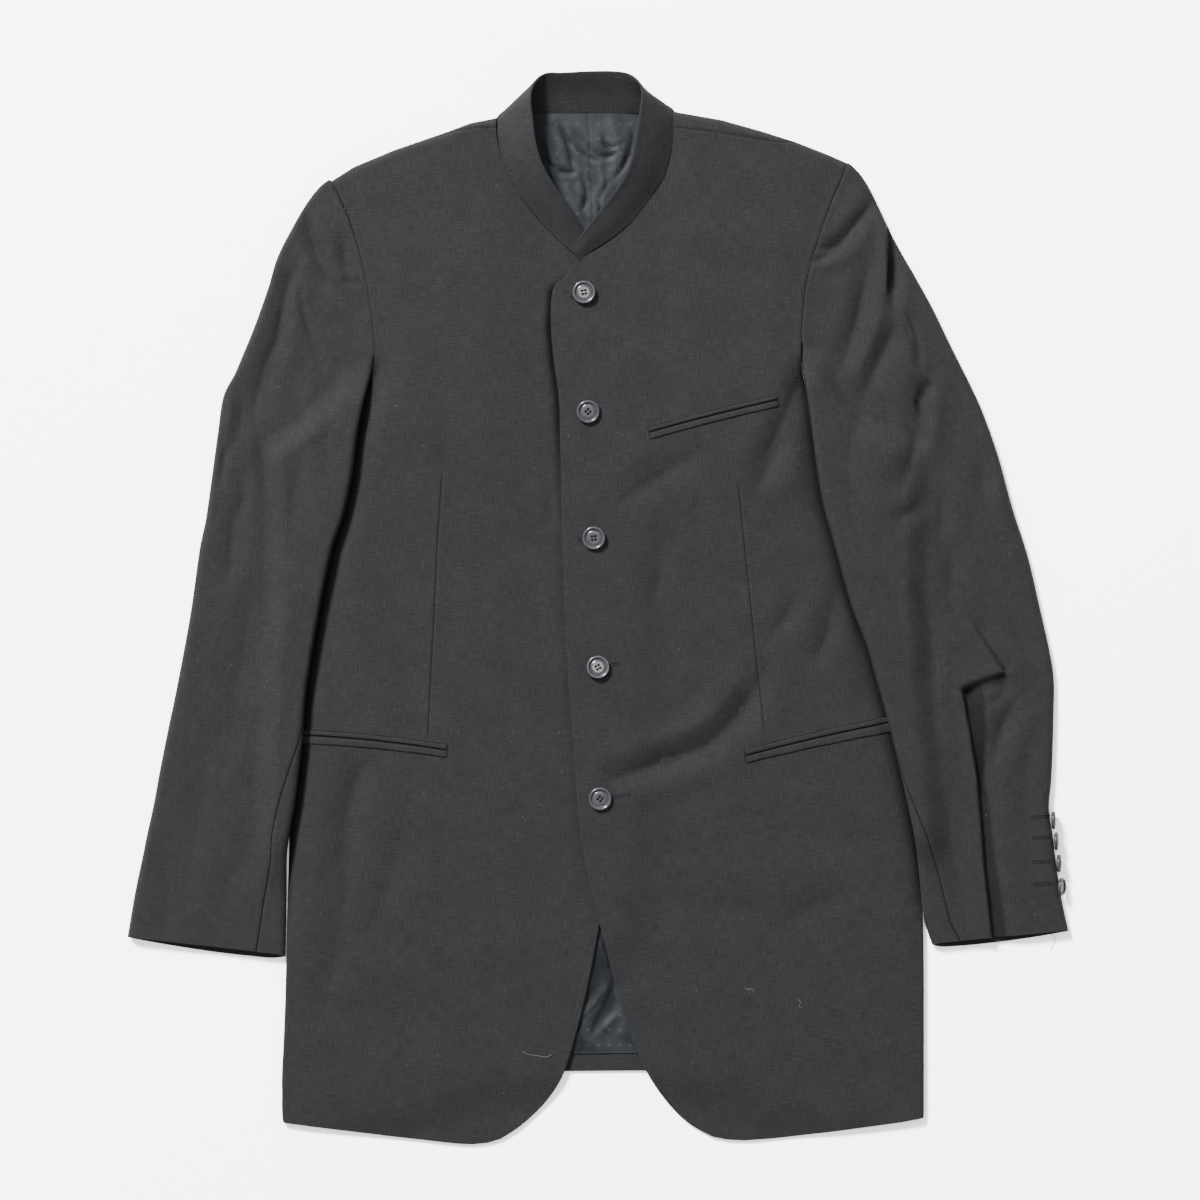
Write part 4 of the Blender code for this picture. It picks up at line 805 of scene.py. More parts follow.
sleeves = {
    -1: {"name": "right_sleeve", "startY": 216.0, "fullY": 172.0, "leaveY": -196.0, "downY": -245.0,
         "columnGap": 2.1, "rowGap": 2.6, "turn": 0.17,
         "flatUpper": (0.150, 0.665), "flatUnder": (0.160, 0.670)},
    1: {"name": "left_sleeve", "startY": 228.0, "fullY": 190.0, "leaveY": -186.0, "downY": -232.0,
        "columnGap": 1.7, "rowGap": 2.3, "turn": -0.2,
        "flatUpper": (0.175, 0.670), "flatUnder": (0.190, 0.675)},
}
sleeveForm = {"height": 9.0, "roll": 6.0, "wall": 2.4, "rideHeight": 8.8, "rideRun": 24.0, "rideMargin": 8.0,
              "armholeGap": -0.6, "reach": 1.9, "samples": 150, "hemDrop": 5.0, "crease": 1.45}
sleeveCreases = {
    -1: tableOf(creaseColumns, [
        (-252, 341, -243, 312, -233, 284, 6, -2.4), (-234, 288, -228, 277, -220, 273, 6, -1.6),
        (-221, 283, -212, 281, -203, 280, 3.2, -0.9), (-262, 292, -270, 262, -277, 228, 8, -2.2),
        (-276, 231, -287, 205, -297, 160, 8, -2.2), (-292, 148, -285, 116, -277, 75, 7, -1.9),
        (-306, 115, -305, 97, -308, 80, 5, -1.1), (-313, 84, -315, 55, -316, 28, 8, -1.7),
        (-259, 290, -249, 242, -236, 210, 3.2, -1.1), (-220, 318, -218, 305, -215, 292, 5, -1.3),
        (-244, 336, -232, 300, -226, 262, 9, 1.2), (-249, 300, -262, 262, -262, 220, 8, 1.1),
        (-310, 195, -306, 170, -313, 140, 7, -1.0), (-250, 140, -262, 90, -268, 30, 13, -1.1),
        (-296, 20, -308, -60, -316, -130, 13, -1.0), (-340, 10, -350, -50, -358, -110, 12, 0.8),
        (-330, -110, -345, -180, -352, -250, 15, -0.9), (-285, -20, -296, -90, -318, -150, 12, 0.6),
        (-380, -190, -370, -230, -372, -275, 9, -0.7), (-225, 190, -232, 150, -228, 110, 9, -1.0),
        (-322, 150, -321, 132, -324, 110, 3.5, -1.2), (-300, -200, -318, -240, -330, -285, 10, -0.7),
    ]),
    1: tableOf(creaseColumns, [
        (238, 352, 222, 331, 206, 312, 6, -2.5), (208, 315, 200, 310, 190, 310, 6, -2.0),
        (185, 300, 192, 301, 200, 305, 3.5, -1.4), (246, 336, 249, 303, 249, 272, 5, 1.3),
        (253, 330, 255, 296, 253, 259, 5, -2.4), (258, 262, 262, 252, 262, 240, 6, 1.2),
        (260, 254, 270, 232, 276, 207, 3.5, -1.5), (285, 201, 276, 188, 273, 168, 7, -2.6),
        (277, 162, 270, 133, 261, 105, 8, -2.3), (292, 190, 290, 160, 282, 130, 9, 1.2),
        (231, 292, 224, 253, 211, 212, 8, -2.1), (257, 246, 243, 216, 229, 183, 8, -2.1),
        (245, 262, 236, 232, 222, 200, 8, 1.0), (328, 123, 331, 108, 333, 92, 8, -1.3),
        (276, 93, 267, 83, 254, 76, 8, -1.7), (296, 96, 295, 77, 296, 58, 7, -1.4),
        (304, 52, 304, 28, 305, 5, 8, -1.5), (344, -26, 356, -40, 366, -50, 8, 1.2),
        (352, -64, 346, -74, 336, -82, 5, -1.2), (359, -76, 347, -105, 341, -132, 9, -2.4),
        (300, -40, 296, -90, 304, -140, 12, 1.1),
        (225, 170, 215, 120, 222, 60, 10, -1.0), (240, 60, 252, 10, 268, -40, 12, -1.0),
        (340, 120, 352, 60, 362, 10, 10, 0.9), (276, 20, 286, -20, 290, -60, 9, -1.0),
        (372, -110, 368, -160, 372, -220, 11, -0.9), (300, -180, 308, -220, 318, -262, 11, -0.7),
    ]),
}
# Each fold also carries painted shade: band and bandAt give the dark band's width along the path, dark its
# darkness, blur its soft edge
sleeveFolds = {
    1: [
        {"path": [(313, -66), (316, -86), (320, -107), (325.7, -144), (328.5, -175), (331.4, -215),
                  (339, -286)],
         "raise": 2.0, "drop": 4.6, "raiseRun": 12.0, "dropRun": 14.0, "fades": (9.0, 1.0), "soft": 2.0,
         "bandAt": [0, 0.055, 0.2, 0.34, 0.38, 0.46, 0.76, 1], "band": [16, 18, 13, 7, 5.5, 8, 11, 13],
         "dark": [0.5, 0.6, 0.65, 0.9, 0.9, 0.5, 0.5, 0.55], "blur": 3.0},
        {"path": [(246.5, 338), (248, 322), (248.6, 300), (248.4, 264)],
         "raise": 1.4, "drop": 3.4, "raiseRun": 8.0, "dropRun": 9.5, "fades": (14.0, 18.0), "soft": 2.0,
         "bandAt": [0, 0.3, 0.6, 1], "band": [2, 6, 8, 6], "dark": [0.4, 0.5, 0.65, 0.5], "blur": 2.5},
        {"path": [(262, 258), (268, 245), (271.5, 234), (276, 208)],
         "raise": 1.2, "drop": 1.3, "raiseRun": 9.0, "dropRun": 7.0, "fades": (12.0, 14.0), "soft": 3.0,
         "bandAt": [0, 1], "band": [1.5, 2.5], "dark": [0.3, 0.6], "blur": 3.0},
        {"path": [(318, -6), (328, -22), (340, -40), (350, -56)],
         "raise": 1.2, "drop": 1.6, "raiseRun": 8.0, "dropRun": 9.0, "fades": (18.0, 4.0), "soft": 2.4,
         "bandAt": [0, 1], "band": [1.0, 3.0], "dark": [0.3, 0.7], "blur": 3.0},
        {"path": [(353, -54), (340, -57.5), (328, -62), (317, -66.5), (310, -72)],
         "raise": 1.2, "drop": 3.2, "raiseRun": 10.0, "dropRun": 11.0, "fades": (6.0, 5.0), "soft": 6.0,
         "bandAt": [0, 0.25, 0.5, 1], "band": [6, 8, 6, 10], "dark": [0.9, 0.8, 0.6, 0.9], "blur": 10.0},
        {"path": [(286, 200), (277, 190), (272.5, 178), (276, 160)],
         "raise": 1.2, "drop": 1.8, "raiseRun": 7.0, "dropRun": 12.0, "fades": (5.0, 12.0), "soft": 3.0,
         "bandAt": [0, 0.4, 0.7, 1], "band": [4, 5, 4, 2], "dark": [0.6, 0.85, 0.8, 0.3], "blur": 5.0},
    ],
    -1: [
        {"path": [(-270, 272), (-277, 236), (-285, 200), (-292, 172)],
         "raise": 0.6, "drop": 0.9, "raiseRun": 12.0, "dropRun": 14.0, "fades": (22.0, 12.0), "soft": 9.0,
         "bandAt": [0, 1], "band": [2, 2], "dark": [0, 0], "blur": 4.0},
        {"path": [(-318, 186), (-317, 170), (-320, 150), (-325, 132)],
         "raise": 0.3, "drop": -1.2, "raiseRun": 5.0, "dropRun": 4.0, "fades": (9.0, 9.0), "soft": 1.8,
         "bandAt": [0, 1], "band": [1, 1], "dark": [0, 0], "blur": 4.0},
    ],
}


# A cloth fold lying over: sunk on the path's own left side and raised on its right, faded at its two ends.
# The second result is painted shade: a dark band of the given width in the hollow on the sunk side.
def foldStep(x, y, fold):
    best = np.full(np.shape(x), 1.0e9)
    signed, along, length = np.zeros(np.shape(x)), np.zeros(np.shape(x)), 0.0
    for (x0, y0), (x1, y1) in zip(fold["path"][:-1], fold["path"][1:]):
        run = math.hypot(x1 - x0, y1 - y0)
        goX, goY = (x1 - x0) / run, (y1 - y0) / run
        t = np.clip((x - x0) * goX + (y - y0) * goY, 0.0, run)
        away = np.hypot(x - x0 - t * goX, y - y0 - t * goY)
        left = np.where((y - y0) * goX - (x - x0) * goY > 0.0, away, -away)
        closer = away < best
        best, signed = np.where(closer, away, best), np.where(closer, left, signed)
        along = np.where(closer, length + t, along)
        length += run
    edge = ease(signed / fold["soft"] + 0.5)
    raised = fold["raise"] * bell(np.minimum(signed, 0.0), fold["raiseRun"])
    sunk = -fold["drop"] * bell(np.maximum(signed, 0.0), fold["dropRun"])
    inside = ease(along / fold["fades"][0]) * ease((length - along) / fold["fades"][1])
    share = along / length
    within = 1.0 - ease((signed - np.interp(share, fold["bandAt"], fold["band"])) / fold["blur"] + 0.5)
    dark = edge * inside * within * np.interp(share, fold["bandAt"], fold["dark"])
    return ((1.0 - edge) * raised + edge * sunk) * inside, dark


def sleeveRest(x, y, side, plan):  # the sleeve's underside: over the body beside it, and down beyond it
    rows = frontRows[side]
    outline = np.interp(-y, -rows["sideY"], rows["sideX"])
    away = pathDistance(x, y, list(zip(rows["sideX"], rows["sideY"])))[0]
    outside = np.where(side * (x - outline) > 0.0, away, -away)
    over = 1.0 - ease((outside - sleeveForm["rideMargin"]) / sleeveForm["rideRun"])
    risen = ease((plan["startY"] - y) / (plan["startY"] - plan["fullY"]))
    risen = risen * (1.0 - ease((plan["leaveY"] - y) / (plan["leaveY"] - plan["downY"])))
    return sleeveForm["rideHeight"] * over * risen


# All rings at once: height is middle plus and minus half, and half closes as a quarter ellipse at an edge
def sleeveRings(line, side, plan, inset):
    form = sleeveForm
    innerX, innerY, outerX, outerY = [line[key][:, None] for key in ("innerX", "innerY", "outerX", "outerY")]
    width = np.hypot(outerX - innerX, outerY - innerY)
    joined = ease((innerY - plan["startY"] + 3.0) / 6.0)
    start = (form["armholeGap"] * joined + inset * (1.0 - joined)) / width
    share = 0.5 - 0.5 * np.cos(np.linspace(0.0, math.pi, form["samples"]))
    across = start + (1.0 - inset / width - start) * share
    x = innerX + (outerX - innerX) * across
    y = innerY + (outerY - innerY) * across
    reach = across * width
    roll = np.minimum(form["roll"], 0.42 * width) - inset
    closed = rollUp(width - inset - reach, roll)
    innerClosed = rollUp(reach - inset, roll)
    closed = closed * (joined + (1.0 - joined) * innerClosed)
    seamHeight = frontTop(x[:, :1], y[:, :1], side, detail=False)
    height = form["height"] + joined * (seamHeight - form["height"]) * (1.0 - ease(reach / 26.0))
    middle = sleeveRest(x, y, side, plan) + 0.5 * height
    half = (0.5 * height - inset) * closed
    relief = form["crease"] * creaseRelief(x, y, sleeveCreases[side])
    relief = relief + 0.4 * waves(x, y, 31 + side, 70.0, 0.2) + 0.09 * waves(x, y, 41 + side, 26.0, 0.1)
    shade = np.zeros(x.shape)
    for fold in sleeveFolds[side]:
        step, dark = foldStep(x, y, fold)
        relief, shade = relief + step, np.maximum(shade, dark)
    top = stack(x, y, middle + half + relief * closed)
    bottom = stack(x, y, middle - half)
    return top, bottom[:, ::-1], joined[:, 0], shade * closed


def travelOf(path):
    return runningSum(np.linalg.norm(np.diff(path, axis=0), axis=1))


def pickRow(outside, inside, wanted):  # points at distances along one ring, and the matching inside ones
    numbers = np.arange(len(outside))
    at = np.interp(wanted, travelOf(outside), numbers)
    return [np.stack([np.interp(at, numbers, path[:, axis]) for axis in range(3)], axis=-1)
            for path in (outside, inside)]


def makeSleeve(side, plan):
    rows, form = sleeveRows[side], sleeveForm
    travel = runningSum(np.hypot(np.diff(rows["innerX"]), np.diff(rows["innerY"])))
    down = stations(travel[-1], plan["rowGap"], edgeSteps)
    line = rowsAt(rows, travel, down)
    armhole = smoothRows(frontRows[side], np.linspace(0.0, 9.0, 400))
    onArmhole = np.interp(-line["innerY"], -armhole["sideY"], armhole["sideX"])
    meets = ease((line["innerY"] - plan["startY"] + 4.0) / 8.0)
    line["innerX"] = line["innerX"] + (onArmhole - line["innerX"]) * meets
    top, bottom, joined, shade = sleeveRings(line, side, plan, 0.0)
    inTop, inBottom = sleeveRings(line, side, plan, form["wall"])[:2]
    upperCount = int(130.0 / plan["columnGap"])
    upperShares = np.concatenate([[0.0, 0.002, 0.005, 0.009, 0.015, 0.024, 0.036],
                                  np.linspace(0.05, 0.95, upperCount),
                                  [0.964, 0.976, 0.985, 0.991, 0.995, 0.998, 1.0]])
    underShares = np.concatenate([[0.0, 0.003, 0.008, 0.016, 0.03], np.linspace(0.06, 0.9, 26),
                                  np.linspace(0.915, 1.0, 14)])
    turnedShares = np.concatenate([np.linspace(0.0, 0.9, 12)[1:], [0.94, 0.97, 0.985, 1.0]])
    upper, under, shades = [], [], []
    for number in range(len(down)):
        seamIn = (1.0 - joined[number]) * max(line["seamIn"][number], form["reach"])
        topLength = travelOf(top[number])[-1]
        start = seamIn + 0.15
        wanted = start + (topLength - 0.15 - start) * upperShares
        upper.append(pickRow(top[number], inTop[number], wanted))
        shades.append(np.interp(wanted, travelOf(top[number]), shade[number]))
        around = np.concatenate([bottom[number], top[number][1:]])
        inAround = np.concatenate([inBottom[number], inTop[number][1:]])
        bottomLength = travelOf(bottom[number])[-1]
        turned = max(seamIn - 0.15, 0.02)
        sides = bottomLength * (1.0 - 0.004 * joined[number])
        wanted = np.concatenate([0.15 + (sides - 0.15) * underShares, sides + turned * turnedShares])
        under.append(pickRow(around, inAround, wanted))
    fromHem = (down[-1] - down)[:, None]
    pieces = []
    for part, rings, fromSeamEnd in (("upper", upper, 0), ("under", under, -1)):
        outside = np.array([ring[0] for ring in rings])
        inside = np.array([ring[1] for ring in rings])
        run = np.cumsum(np.linalg.norm(np.diff(outside, axis=1, prepend=outside[:, :1]), axis=-1), axis=1)
        fromSeam = run if fromSeamEnd == 0 else run[:, -1:] - run
        sunk = 0.8 * (1.0 - rollUp(fromSeam, 1.6)) - 0.2 * bell(fromSeam - 3.2, 1.8)
        if part == "under":
            sunk = sunk * (1.0 - joined)[:, None] * (fromSeam < 9.0)
        outside[..., 2] -= sunk
        seam = 0.4 * bell(fromSeam, 0.6)
        if part == "upper":
            inside[..., 2] = np.minimum(inside[..., 2], outside[..., 2] - 0.5)
            # Painted shade of the fold hollows joins the seam lines here
            seam = np.maximum(seam, np.array(shades))
            outside[..., 2] -= 0.7 * (1.0 - rollUp(fromHem, 1.5)) + 0.14 * bell(fromHem - 32.0, 1.5)
        else:
            hem = np.linspace(0.0, 1.0, outside.shape[1])
            # Painted shade: the turned under part near the armhole is darkened as if in shadow
            seam = np.maximum(seam, 0.9 * (fromSeam < 9.0) * ease((line["innerY"] - 140.0) / 15.0)[:, None])
            drop = form["hemDrop"] * np.sin(math.pi * np.clip(hem / 0.8, 0.0, 1.0)) * bell(fromHem, 9.0)
            outside[..., 1] -= drop
            inside[..., 1] -= drop
        turn = plan["turn"]
        uv = np.stack([outside[..., 0] * math.cos(turn) + outside[..., 1] * math.sin(turn),
                       outside[..., 1] * math.cos(turn) - outside[..., 0] * math.sin(turn)], axis=-1)
        name = plan["name"] + "_" + part
        piece = shellPiece(name, outside, inside, uv, seam, wool, 3)
        flat = plan["flatUpper"] if part == "upper" else plan["flatUnder"]
        layCloth(name, flat, ["back", "floor"], outside)
        pieces.append(piece)
    return pieces


sleevePieces = {side: makeSleeve(side, plan) for side, plan in sleeves.items()}
print("sleeves made")


# The band collar: straight lines from its seam to its free edge, swept round the neck

collarRows = tableOf("seamX seamY seamZ edgeX edgeY edgeZ", [
    (-3.5, 292, 5.6, 8, 305.5, 5.6), (-13.5, 300.5, 5.6, -1.5, 316, 6.6),
    (-23.5, 309, 5.7, -11.5, 327, 9.6), (-38, 322.6, 6.1, -21, 339, 14.5),
    (-52.4, 338.2, 7.0, -31, 353.5, 19), (-68, 358.8, 8.2, -41.5, 369.5, 23),
    (-78.2, 376.4, 8.8, -48.5, 383.5, 25), (-83.8, 395, 9.0, -53, 400.5, 26),
    (-86, 411, 8.3, -55.5, 420.5, 26.5), (-85.6, 423.4, 5.2, -57, 437, 26),
    (-77, 428.6, 3.4, -53.5, 450.5, 22.5), (-64, 427.6, 3.2, -44.5, 459, 18.5),
    (-40, 427.4, 3.2, -31, 459.8, 16.5), (-10, 427.4, 3.2, -8, 461.1, 16), (18, 427.4, 3.2, 12.5, 461.2, 16),
    (38, 427.6, 3.2, 26.5, 458.6, 17.5), (53, 428.8, 3.4, 34.6, 450.5, 22),
    (63.2, 430.6, 5.4, 37.3, 440, 25.5),
    (64.6, 419, 8.4, 35.7, 426.5, 26.5), (62.6, 396.5, 9.3, 32, 401.5, 26), (56.4, 373, 9.4, 27, 380, 25),
    (44.8, 354, 9.6, 19, 364, 23), (29.4, 334.4, 10.2, 8.5, 350, 20.5), (13, 320.2, 10.4, -2, 337, 18),
    (-4.6, 308.8, 10.4, -10.5, 325.8, 16.5), (-17, 299, 10.3, -22.4, 312, 13.5),
])
collarPlan = {"height": 32.0, "wall": 2.4, "gap": 2.0, "flat": (0.036, 0.520), "tuck": -0.035, "bow": 0.9}


def makeCollar(plan):  # middle surface plus and minus half a wall along its normal, thinned at both edges
    rows = collarRows
    travel = runningSum(np.hypot(np.diff(rows["seamX"]), np.diff(rows["seamY"])))
    along = stations(travel[-1], plan["gap"], edgeSteps)
    line = rowsAt(rows, travel, along)
    t = stations(plan["height"], 1.3, edgeSteps) / plan["height"]
    across = plan["tuck"] + (1.0 - plan["tuck"]) * t
    seamLine = stack(line["seamX"], line["seamY"], line["seamZ"])
    edgeLine = stack(line["edgeX"], line["edgeY"], line["edgeZ"])
    middle = seamLine[:, None] + (edgeLine - seamLine)[:, None] * across[None, :, None]
    normal = np.cross(np.gradient(middle, axis=0), np.gradient(middle, axis=1))
    normal = normal / np.linalg.norm(normal, axis=-1, keepdims=True)
    if normal[len(along) // 8, :, 2].mean() < 0.0:
        normal = -normal
    fromSeam, fromEdge = plan["height"] * t, plan["height"] * (1.0 - t)
    fromEnds = np.minimum(along, along[-1] - along)[:, None]
    half = 0.5 * plan["wall"] * (0.25 + 0.75 * rollUp(fromSeam, 1.6)) * (0.18 + 0.82 * rollUp(fromEdge, 1.6))
    half = half * (0.25 + 0.75 * rollUp(fromEnds, 1.5))
    rumpled = waves(along[:, None], fromSeam[None, :] * 2.0, 5, 60.0)
    bow = plan["bow"] * np.sin(math.pi * t) ** 2 + 0.14 * rumpled
    swell = (bow - 0.12 * bell(fromEdge - 5.5, 1.0))[..., None]
    outside = middle + normal * (half[..., None] + swell)
    inside = middle - normal * (half[..., None] - swell)
    uv = np.stack(np.broadcast_arrays(along[:, None], fromSeam), axis=-1)
    seam = np.broadcast_to(0.75 * bell(fromSeam, 0.7), middle.shape[:2]).copy()
    piece = shellPiece("collar", outside, inside, uv, seam, wool, 1)
    layCloth("collar", plan["flat"], ["left_front", "back"], outside)


makeCollar(collarPlan)
print("collar made")


# Linings: thin satin on the back, wrinkled where the neck and the hem open over it, with painted shade in
# their crease hollows and a painted shadow on one side of a given line

liningWidth = 130.0
linings = {
    "neck_lining": {
        "rows": tableOf("sideX sideY edgeX edgeY", [
            (-64, 426.9, 44, 426.9), (-71, 410, 52, 410), (-72, 385, 52, 385), (-66, 352, 44, 352),
            (-44, 322, 24, 322), (-24, 300, 4, 300)]),
        "centre": [(-9, 428), (-7, 385), (-5, 339), (-4, 300)], "flat": (0.124, 0.127),
        "swell": 2.2, "crease": 1.6, "shadowDepth": 0.3,
        "shadow": [(-44, 427), (-40, 398), (-36, 372), (-26, 340), (-14, 310)],
        "creases": tableOf(creaseColumns, [
            (-50, 415, -40, 392, -38, 368, 5, 1.1), (-34, 418, -26, 400, -22, 378, 2.6, -1.0),
            (-30, 372, -22, 352, -14, 336, 4, 0.9), (12, 416, 18, 396, 14, 372, 5, 1.0),
            (30, 412, 26, 390, 15, 372, 2.6, -1.0), (2, 380, 4, 360, -2, 340, 4, 0.8),
            (-46, 388, -34, 378, -20, 376, 2.6, -0.9), (20, 396, 6, 390, -6, 398, 2.4, -0.8),
            (-24, 404, -12, 392, 0, 386, 2.2, -0.8), (4, 408, 10, 398, 22, 402, 2.2, -0.7),
            (-14, 372, -10, 356, -14, 344, 2.4, -0.8), (8, 366, 2, 352, 4, 336, 2.4, -0.8)])},
    "hem_lining": {
        "rows": tableOf("sideX sideY edgeX edgeY", [
            (-30, -255, 45, -255), (-42, -300, 55, -300), (-55, -340, 66, -340), (-62, -383, 74, -381)]),
        "centre": None, "flat": (0.136, 0.128), "swell": 1.8, "crease": 1.6, "shadowDepth": 0.9,
        "shadow": [(26, -300), (17, -312), (13, -324), (4, -338), (-6, -347), (-13, -353)],
        "creases": tableOf(creaseColumns, [
            (2, -285, 6, -300, 10, -318, 4, 1.3), (10, -318, 2, -338, -14, -350, 5, 1.5),
            (16, -300, 20, -330, 26, -362, 5, 1.2), (-6, -330, -12, -348, -20, -362, 4, -0.8),
            (14, -324, 4, -344, -6, -366, 4, -0.9), (20, -345, 10, -356, 0, -368, 3, 0.7)])},
}


def makeLining(name, plan):
    rows = plan["rows"]
    travel = runningSum(np.abs(np.diff(rows["sideY"])))
    down = stations(travel[-1], 1.3, edgeSteps)
    line = rowsAt(rows, travel, down)
    flat = stations(liningWidth, 1.4, edgeSteps)
    u = flat / liningWidth
    x = line["sideX"][:, None] + (line["edgeX"] - line["sideX"])[:, None] * u
    y = line["sideY"][:, None] + (line["edgeY"] - line["sideY"])[:, None] * u
    fromBorder = np.minimum(np.minimum(flat, liningWidth - flat)[None, :], (down[-1] - down)[:, None] + 6.0)
    free = ease((fromBorder - 8.0) / 26.0)
    creased = creaseRelief(x, y, plan["creases"])
    rumpled = waves(x, y, 9, 17.0, 0.5)
    relief = plan["crease"] * creased + 0.3 * waves(x, y, 7, 28.0, 0.8) + 0.22 * rumpled
    z = 3.3 + free * np.clip(relief + 0.5 * plan["swell"], -0.6, 2.3)
    # Painted shade: dark in crease hollows and on the rumples, plus a painted shadow on the side of the
    # shadow line, as deep as shadowDepth
    shade = 0.85 * ease(np.clip(-creased - 0.1, 0.0, 0.7) / 0.7) + 0.5 * ease((rumpled - 0.25) / 0.6)
    shadow = np.array(plan["shadow"])[::-1].T
    shade = shade + plan["shadowDepth"] * ease((np.interp(y, shadow[1], shadow[0]) - x) / 5.0 + 0.5)
    shade = np.clip(shade, 0.0, 0.9)
    if plan["centre"]:
        away = pathDistance(x, y, plan["centre"])[0]
        z = z - 0.45 * bell(away, 0.8)
        seam = np.maximum(shade, 0.8 * bell(away, 0.7))
    else:
        fromHem = np.broadcast_to((down[-1] - down)[:, None], x.shape)
        z = z - 0.25 * bell(fromHem - 3.0, 0.8)
        seam = np.maximum(shade, 0.7 * bell(fromHem - 3.0, 0.5))
    outside = stack(x, y, z)
    under = np.full(z.shape, 2.55)
    piece = shellPiece(name, outside, stack(x, y, under), np.stack([x, y], axis=-1), seam, lining, 3)
    layCloth(name, plan["flat"], ["back"], outside)


for name, plan in linings.items():
    makeLining(name, plan)
print("linings made")


# Pocket jets: two flattened rolls of cloth beside a mouth, over a nearly black strip of painted shade that
# shows in the slit and as dark lines along their seams

pockets = {
    "chest_pocket": {"panel": "left_front", "start": (44, 152.2), "end": (154, 179.8), "bow": 0.8,
                     "upper": (4.0, 4.0), "lower": (6.0, 5.6)},
    "right_hip_pocket": {"panel": "right_front", "start": (-130, -121), "end": (-258, -108), "bow": 2.0,
                         "upper": (4.8, 4.3), "lower": (6.2, 7.2)},
    "left_hip_pocket": {"panel": "left_front", "start": (126.7, -125.7), "end": (257, -96), "bow": 1.2,
                        "upper": (5.0, 4.8), "lower": (6.2, 8.4)},
}


def stripOn(name, panel, lineX, lineY, up, near, far, rise, thick, material):
    t = np.linspace(0.0, 1.0, 15)
    u = np.linspace(0.0, 1.0, len(lineX))
    across = near + (far - near) * t[None, :]
    x = lineX[:, None] + up[0] * across
    y = lineY[:, None] + up[1] * across
    ground = heightUnder(panel, x, y)
    ground = np.minimum(ground, ground.mean(axis=1, keepdims=True) + 0.3)
    length = math.hypot(lineX[-1] - lineX[0], lineY[-1] - lineY[0])
    ends = rollUp(np.minimum(u, 1.0 - u) * length, 1.1)[:, None]
    rounded = (0.25 + 0.75 * np.sqrt(np.clip(1.0 - (2.0 * t - 1.0) ** 4, 0.0, 1.0)))[None, :]
    z = ground + rise + thick * rounded * (0.3 + 0.7 * ends)
    uv = np.stack([np.broadcast_to(u[:, None] * length, x.shape), np.broadcast_to(across, x.shape)], axis=-1)
    return shellPiece(name, stack(x, y, z), stack(x, y, ground + rise), uv, np.zeros(x.shape), material, 1)


def makePocket(name, plan):
    panel = frontPieces[plan["panel"]]
    t = np.linspace(0.0, 1.0, 66)
    (x0, y0), (x1, y1) = plan["start"], plan["end"]
    length = math.hypot(x1 - x0, y1 - y0)
    up = np.array([-(y1 - y0), x1 - x0]) / length
    up = up if up[1] > 0 else -up
    bow = plan["bow"] * 4.0 * t * (1.0 - t)
    lineX, lineY = x0 + (x1 - x0) * t + bow * up[0], y0 + (y1 - y0) * t + bow * up[1]
    for jet, sign in (("upper", 1.0), ("lower", -1.0)):
        far = (plan[jet][0] + (plan[jet][1] - plan[jet][0]) * t)[:, None] * sign
        ripple = 0.12 * np.sin(t * 21.0 + sign)[:, None]
        label = name + "_" + jet + "_jet"
        piece = stripOn(label, panel, lineX, lineY, up, sign * 0.7, far + ripple, 0.2, 1.0, wool)
        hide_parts(label)
    # The strip shows past each jet by this much, as a painted dark line along its seam
    wide = 0.5
    stretch = 1.0 + 1.4 / length
    midX, midY = 0.5 * (x0 + x1), 0.5 * (y0 + y1)
    baseX, baseY = midX + (lineX - midX) * stretch, midY + (lineY - midY) * stretch
    low = -(plan["lower"][0] + (plan["lower"][1] - plan["lower"][0]) * t)[:, None] - wide
    high = (plan["upper"][0] + (plan["upper"][1] - plan["upper"][0]) * t)[:, None] + wide
    piece = stripOn(name + "_mouth", panel, baseX, baseY, up, low, high, 0.04, 0.14, slitShadeWool)


for name, plan in pockets.items():
    makePocket(name, plan)
print("pockets made")


# Buttons: a turned profile with four drilled holes, sewn on with short bars of thread

buttonProfile = tableOf("radius height", [
    (0.001, 0.62), (0.30, 0.62), (0.46, 0.64), (0.56, 0.62), (0.61, 0.54), (0.655, 0.47), (0.70, 0.50),
    (0.74, 0.66), (0.79, 0.86), (0.85, 0.97), (0.90, 1.0), (0.95, 0.95), (0.985, 0.80), (1.0, 0.58),
    (0.985, 0.34), (0.94, 0.14), (0.86, 0.03), (0.70, 0.0), (0.001, 0.0),
])
frontButtons = {
    "radius": 10.0, "height": 3.4, "hole": 1.05, "pitch": 2.05, "lift": 0.6,
    "places": [(-12, 272.2), (-8.6, 169.9), (-3.6, 61.5), (0, -49.5), (1.7, -162.1)],
    "turns": [0.2, 0.75, 0.1, 0.5, 0.9],
    "tilts": [(0.0, 0.0), (5.5, 2.0), (5.0, -1.5), (-4.0, 0.5), (3.0, 2.0)],
}
cuffButtons = {"radius": 7.75, "height": 3.0, "hole": 0.72, "pitch": 1.5, "y": [-181, -199, -218, -238],
               "lean": [12, 12, 14, 28], "centreZ": 8.0}


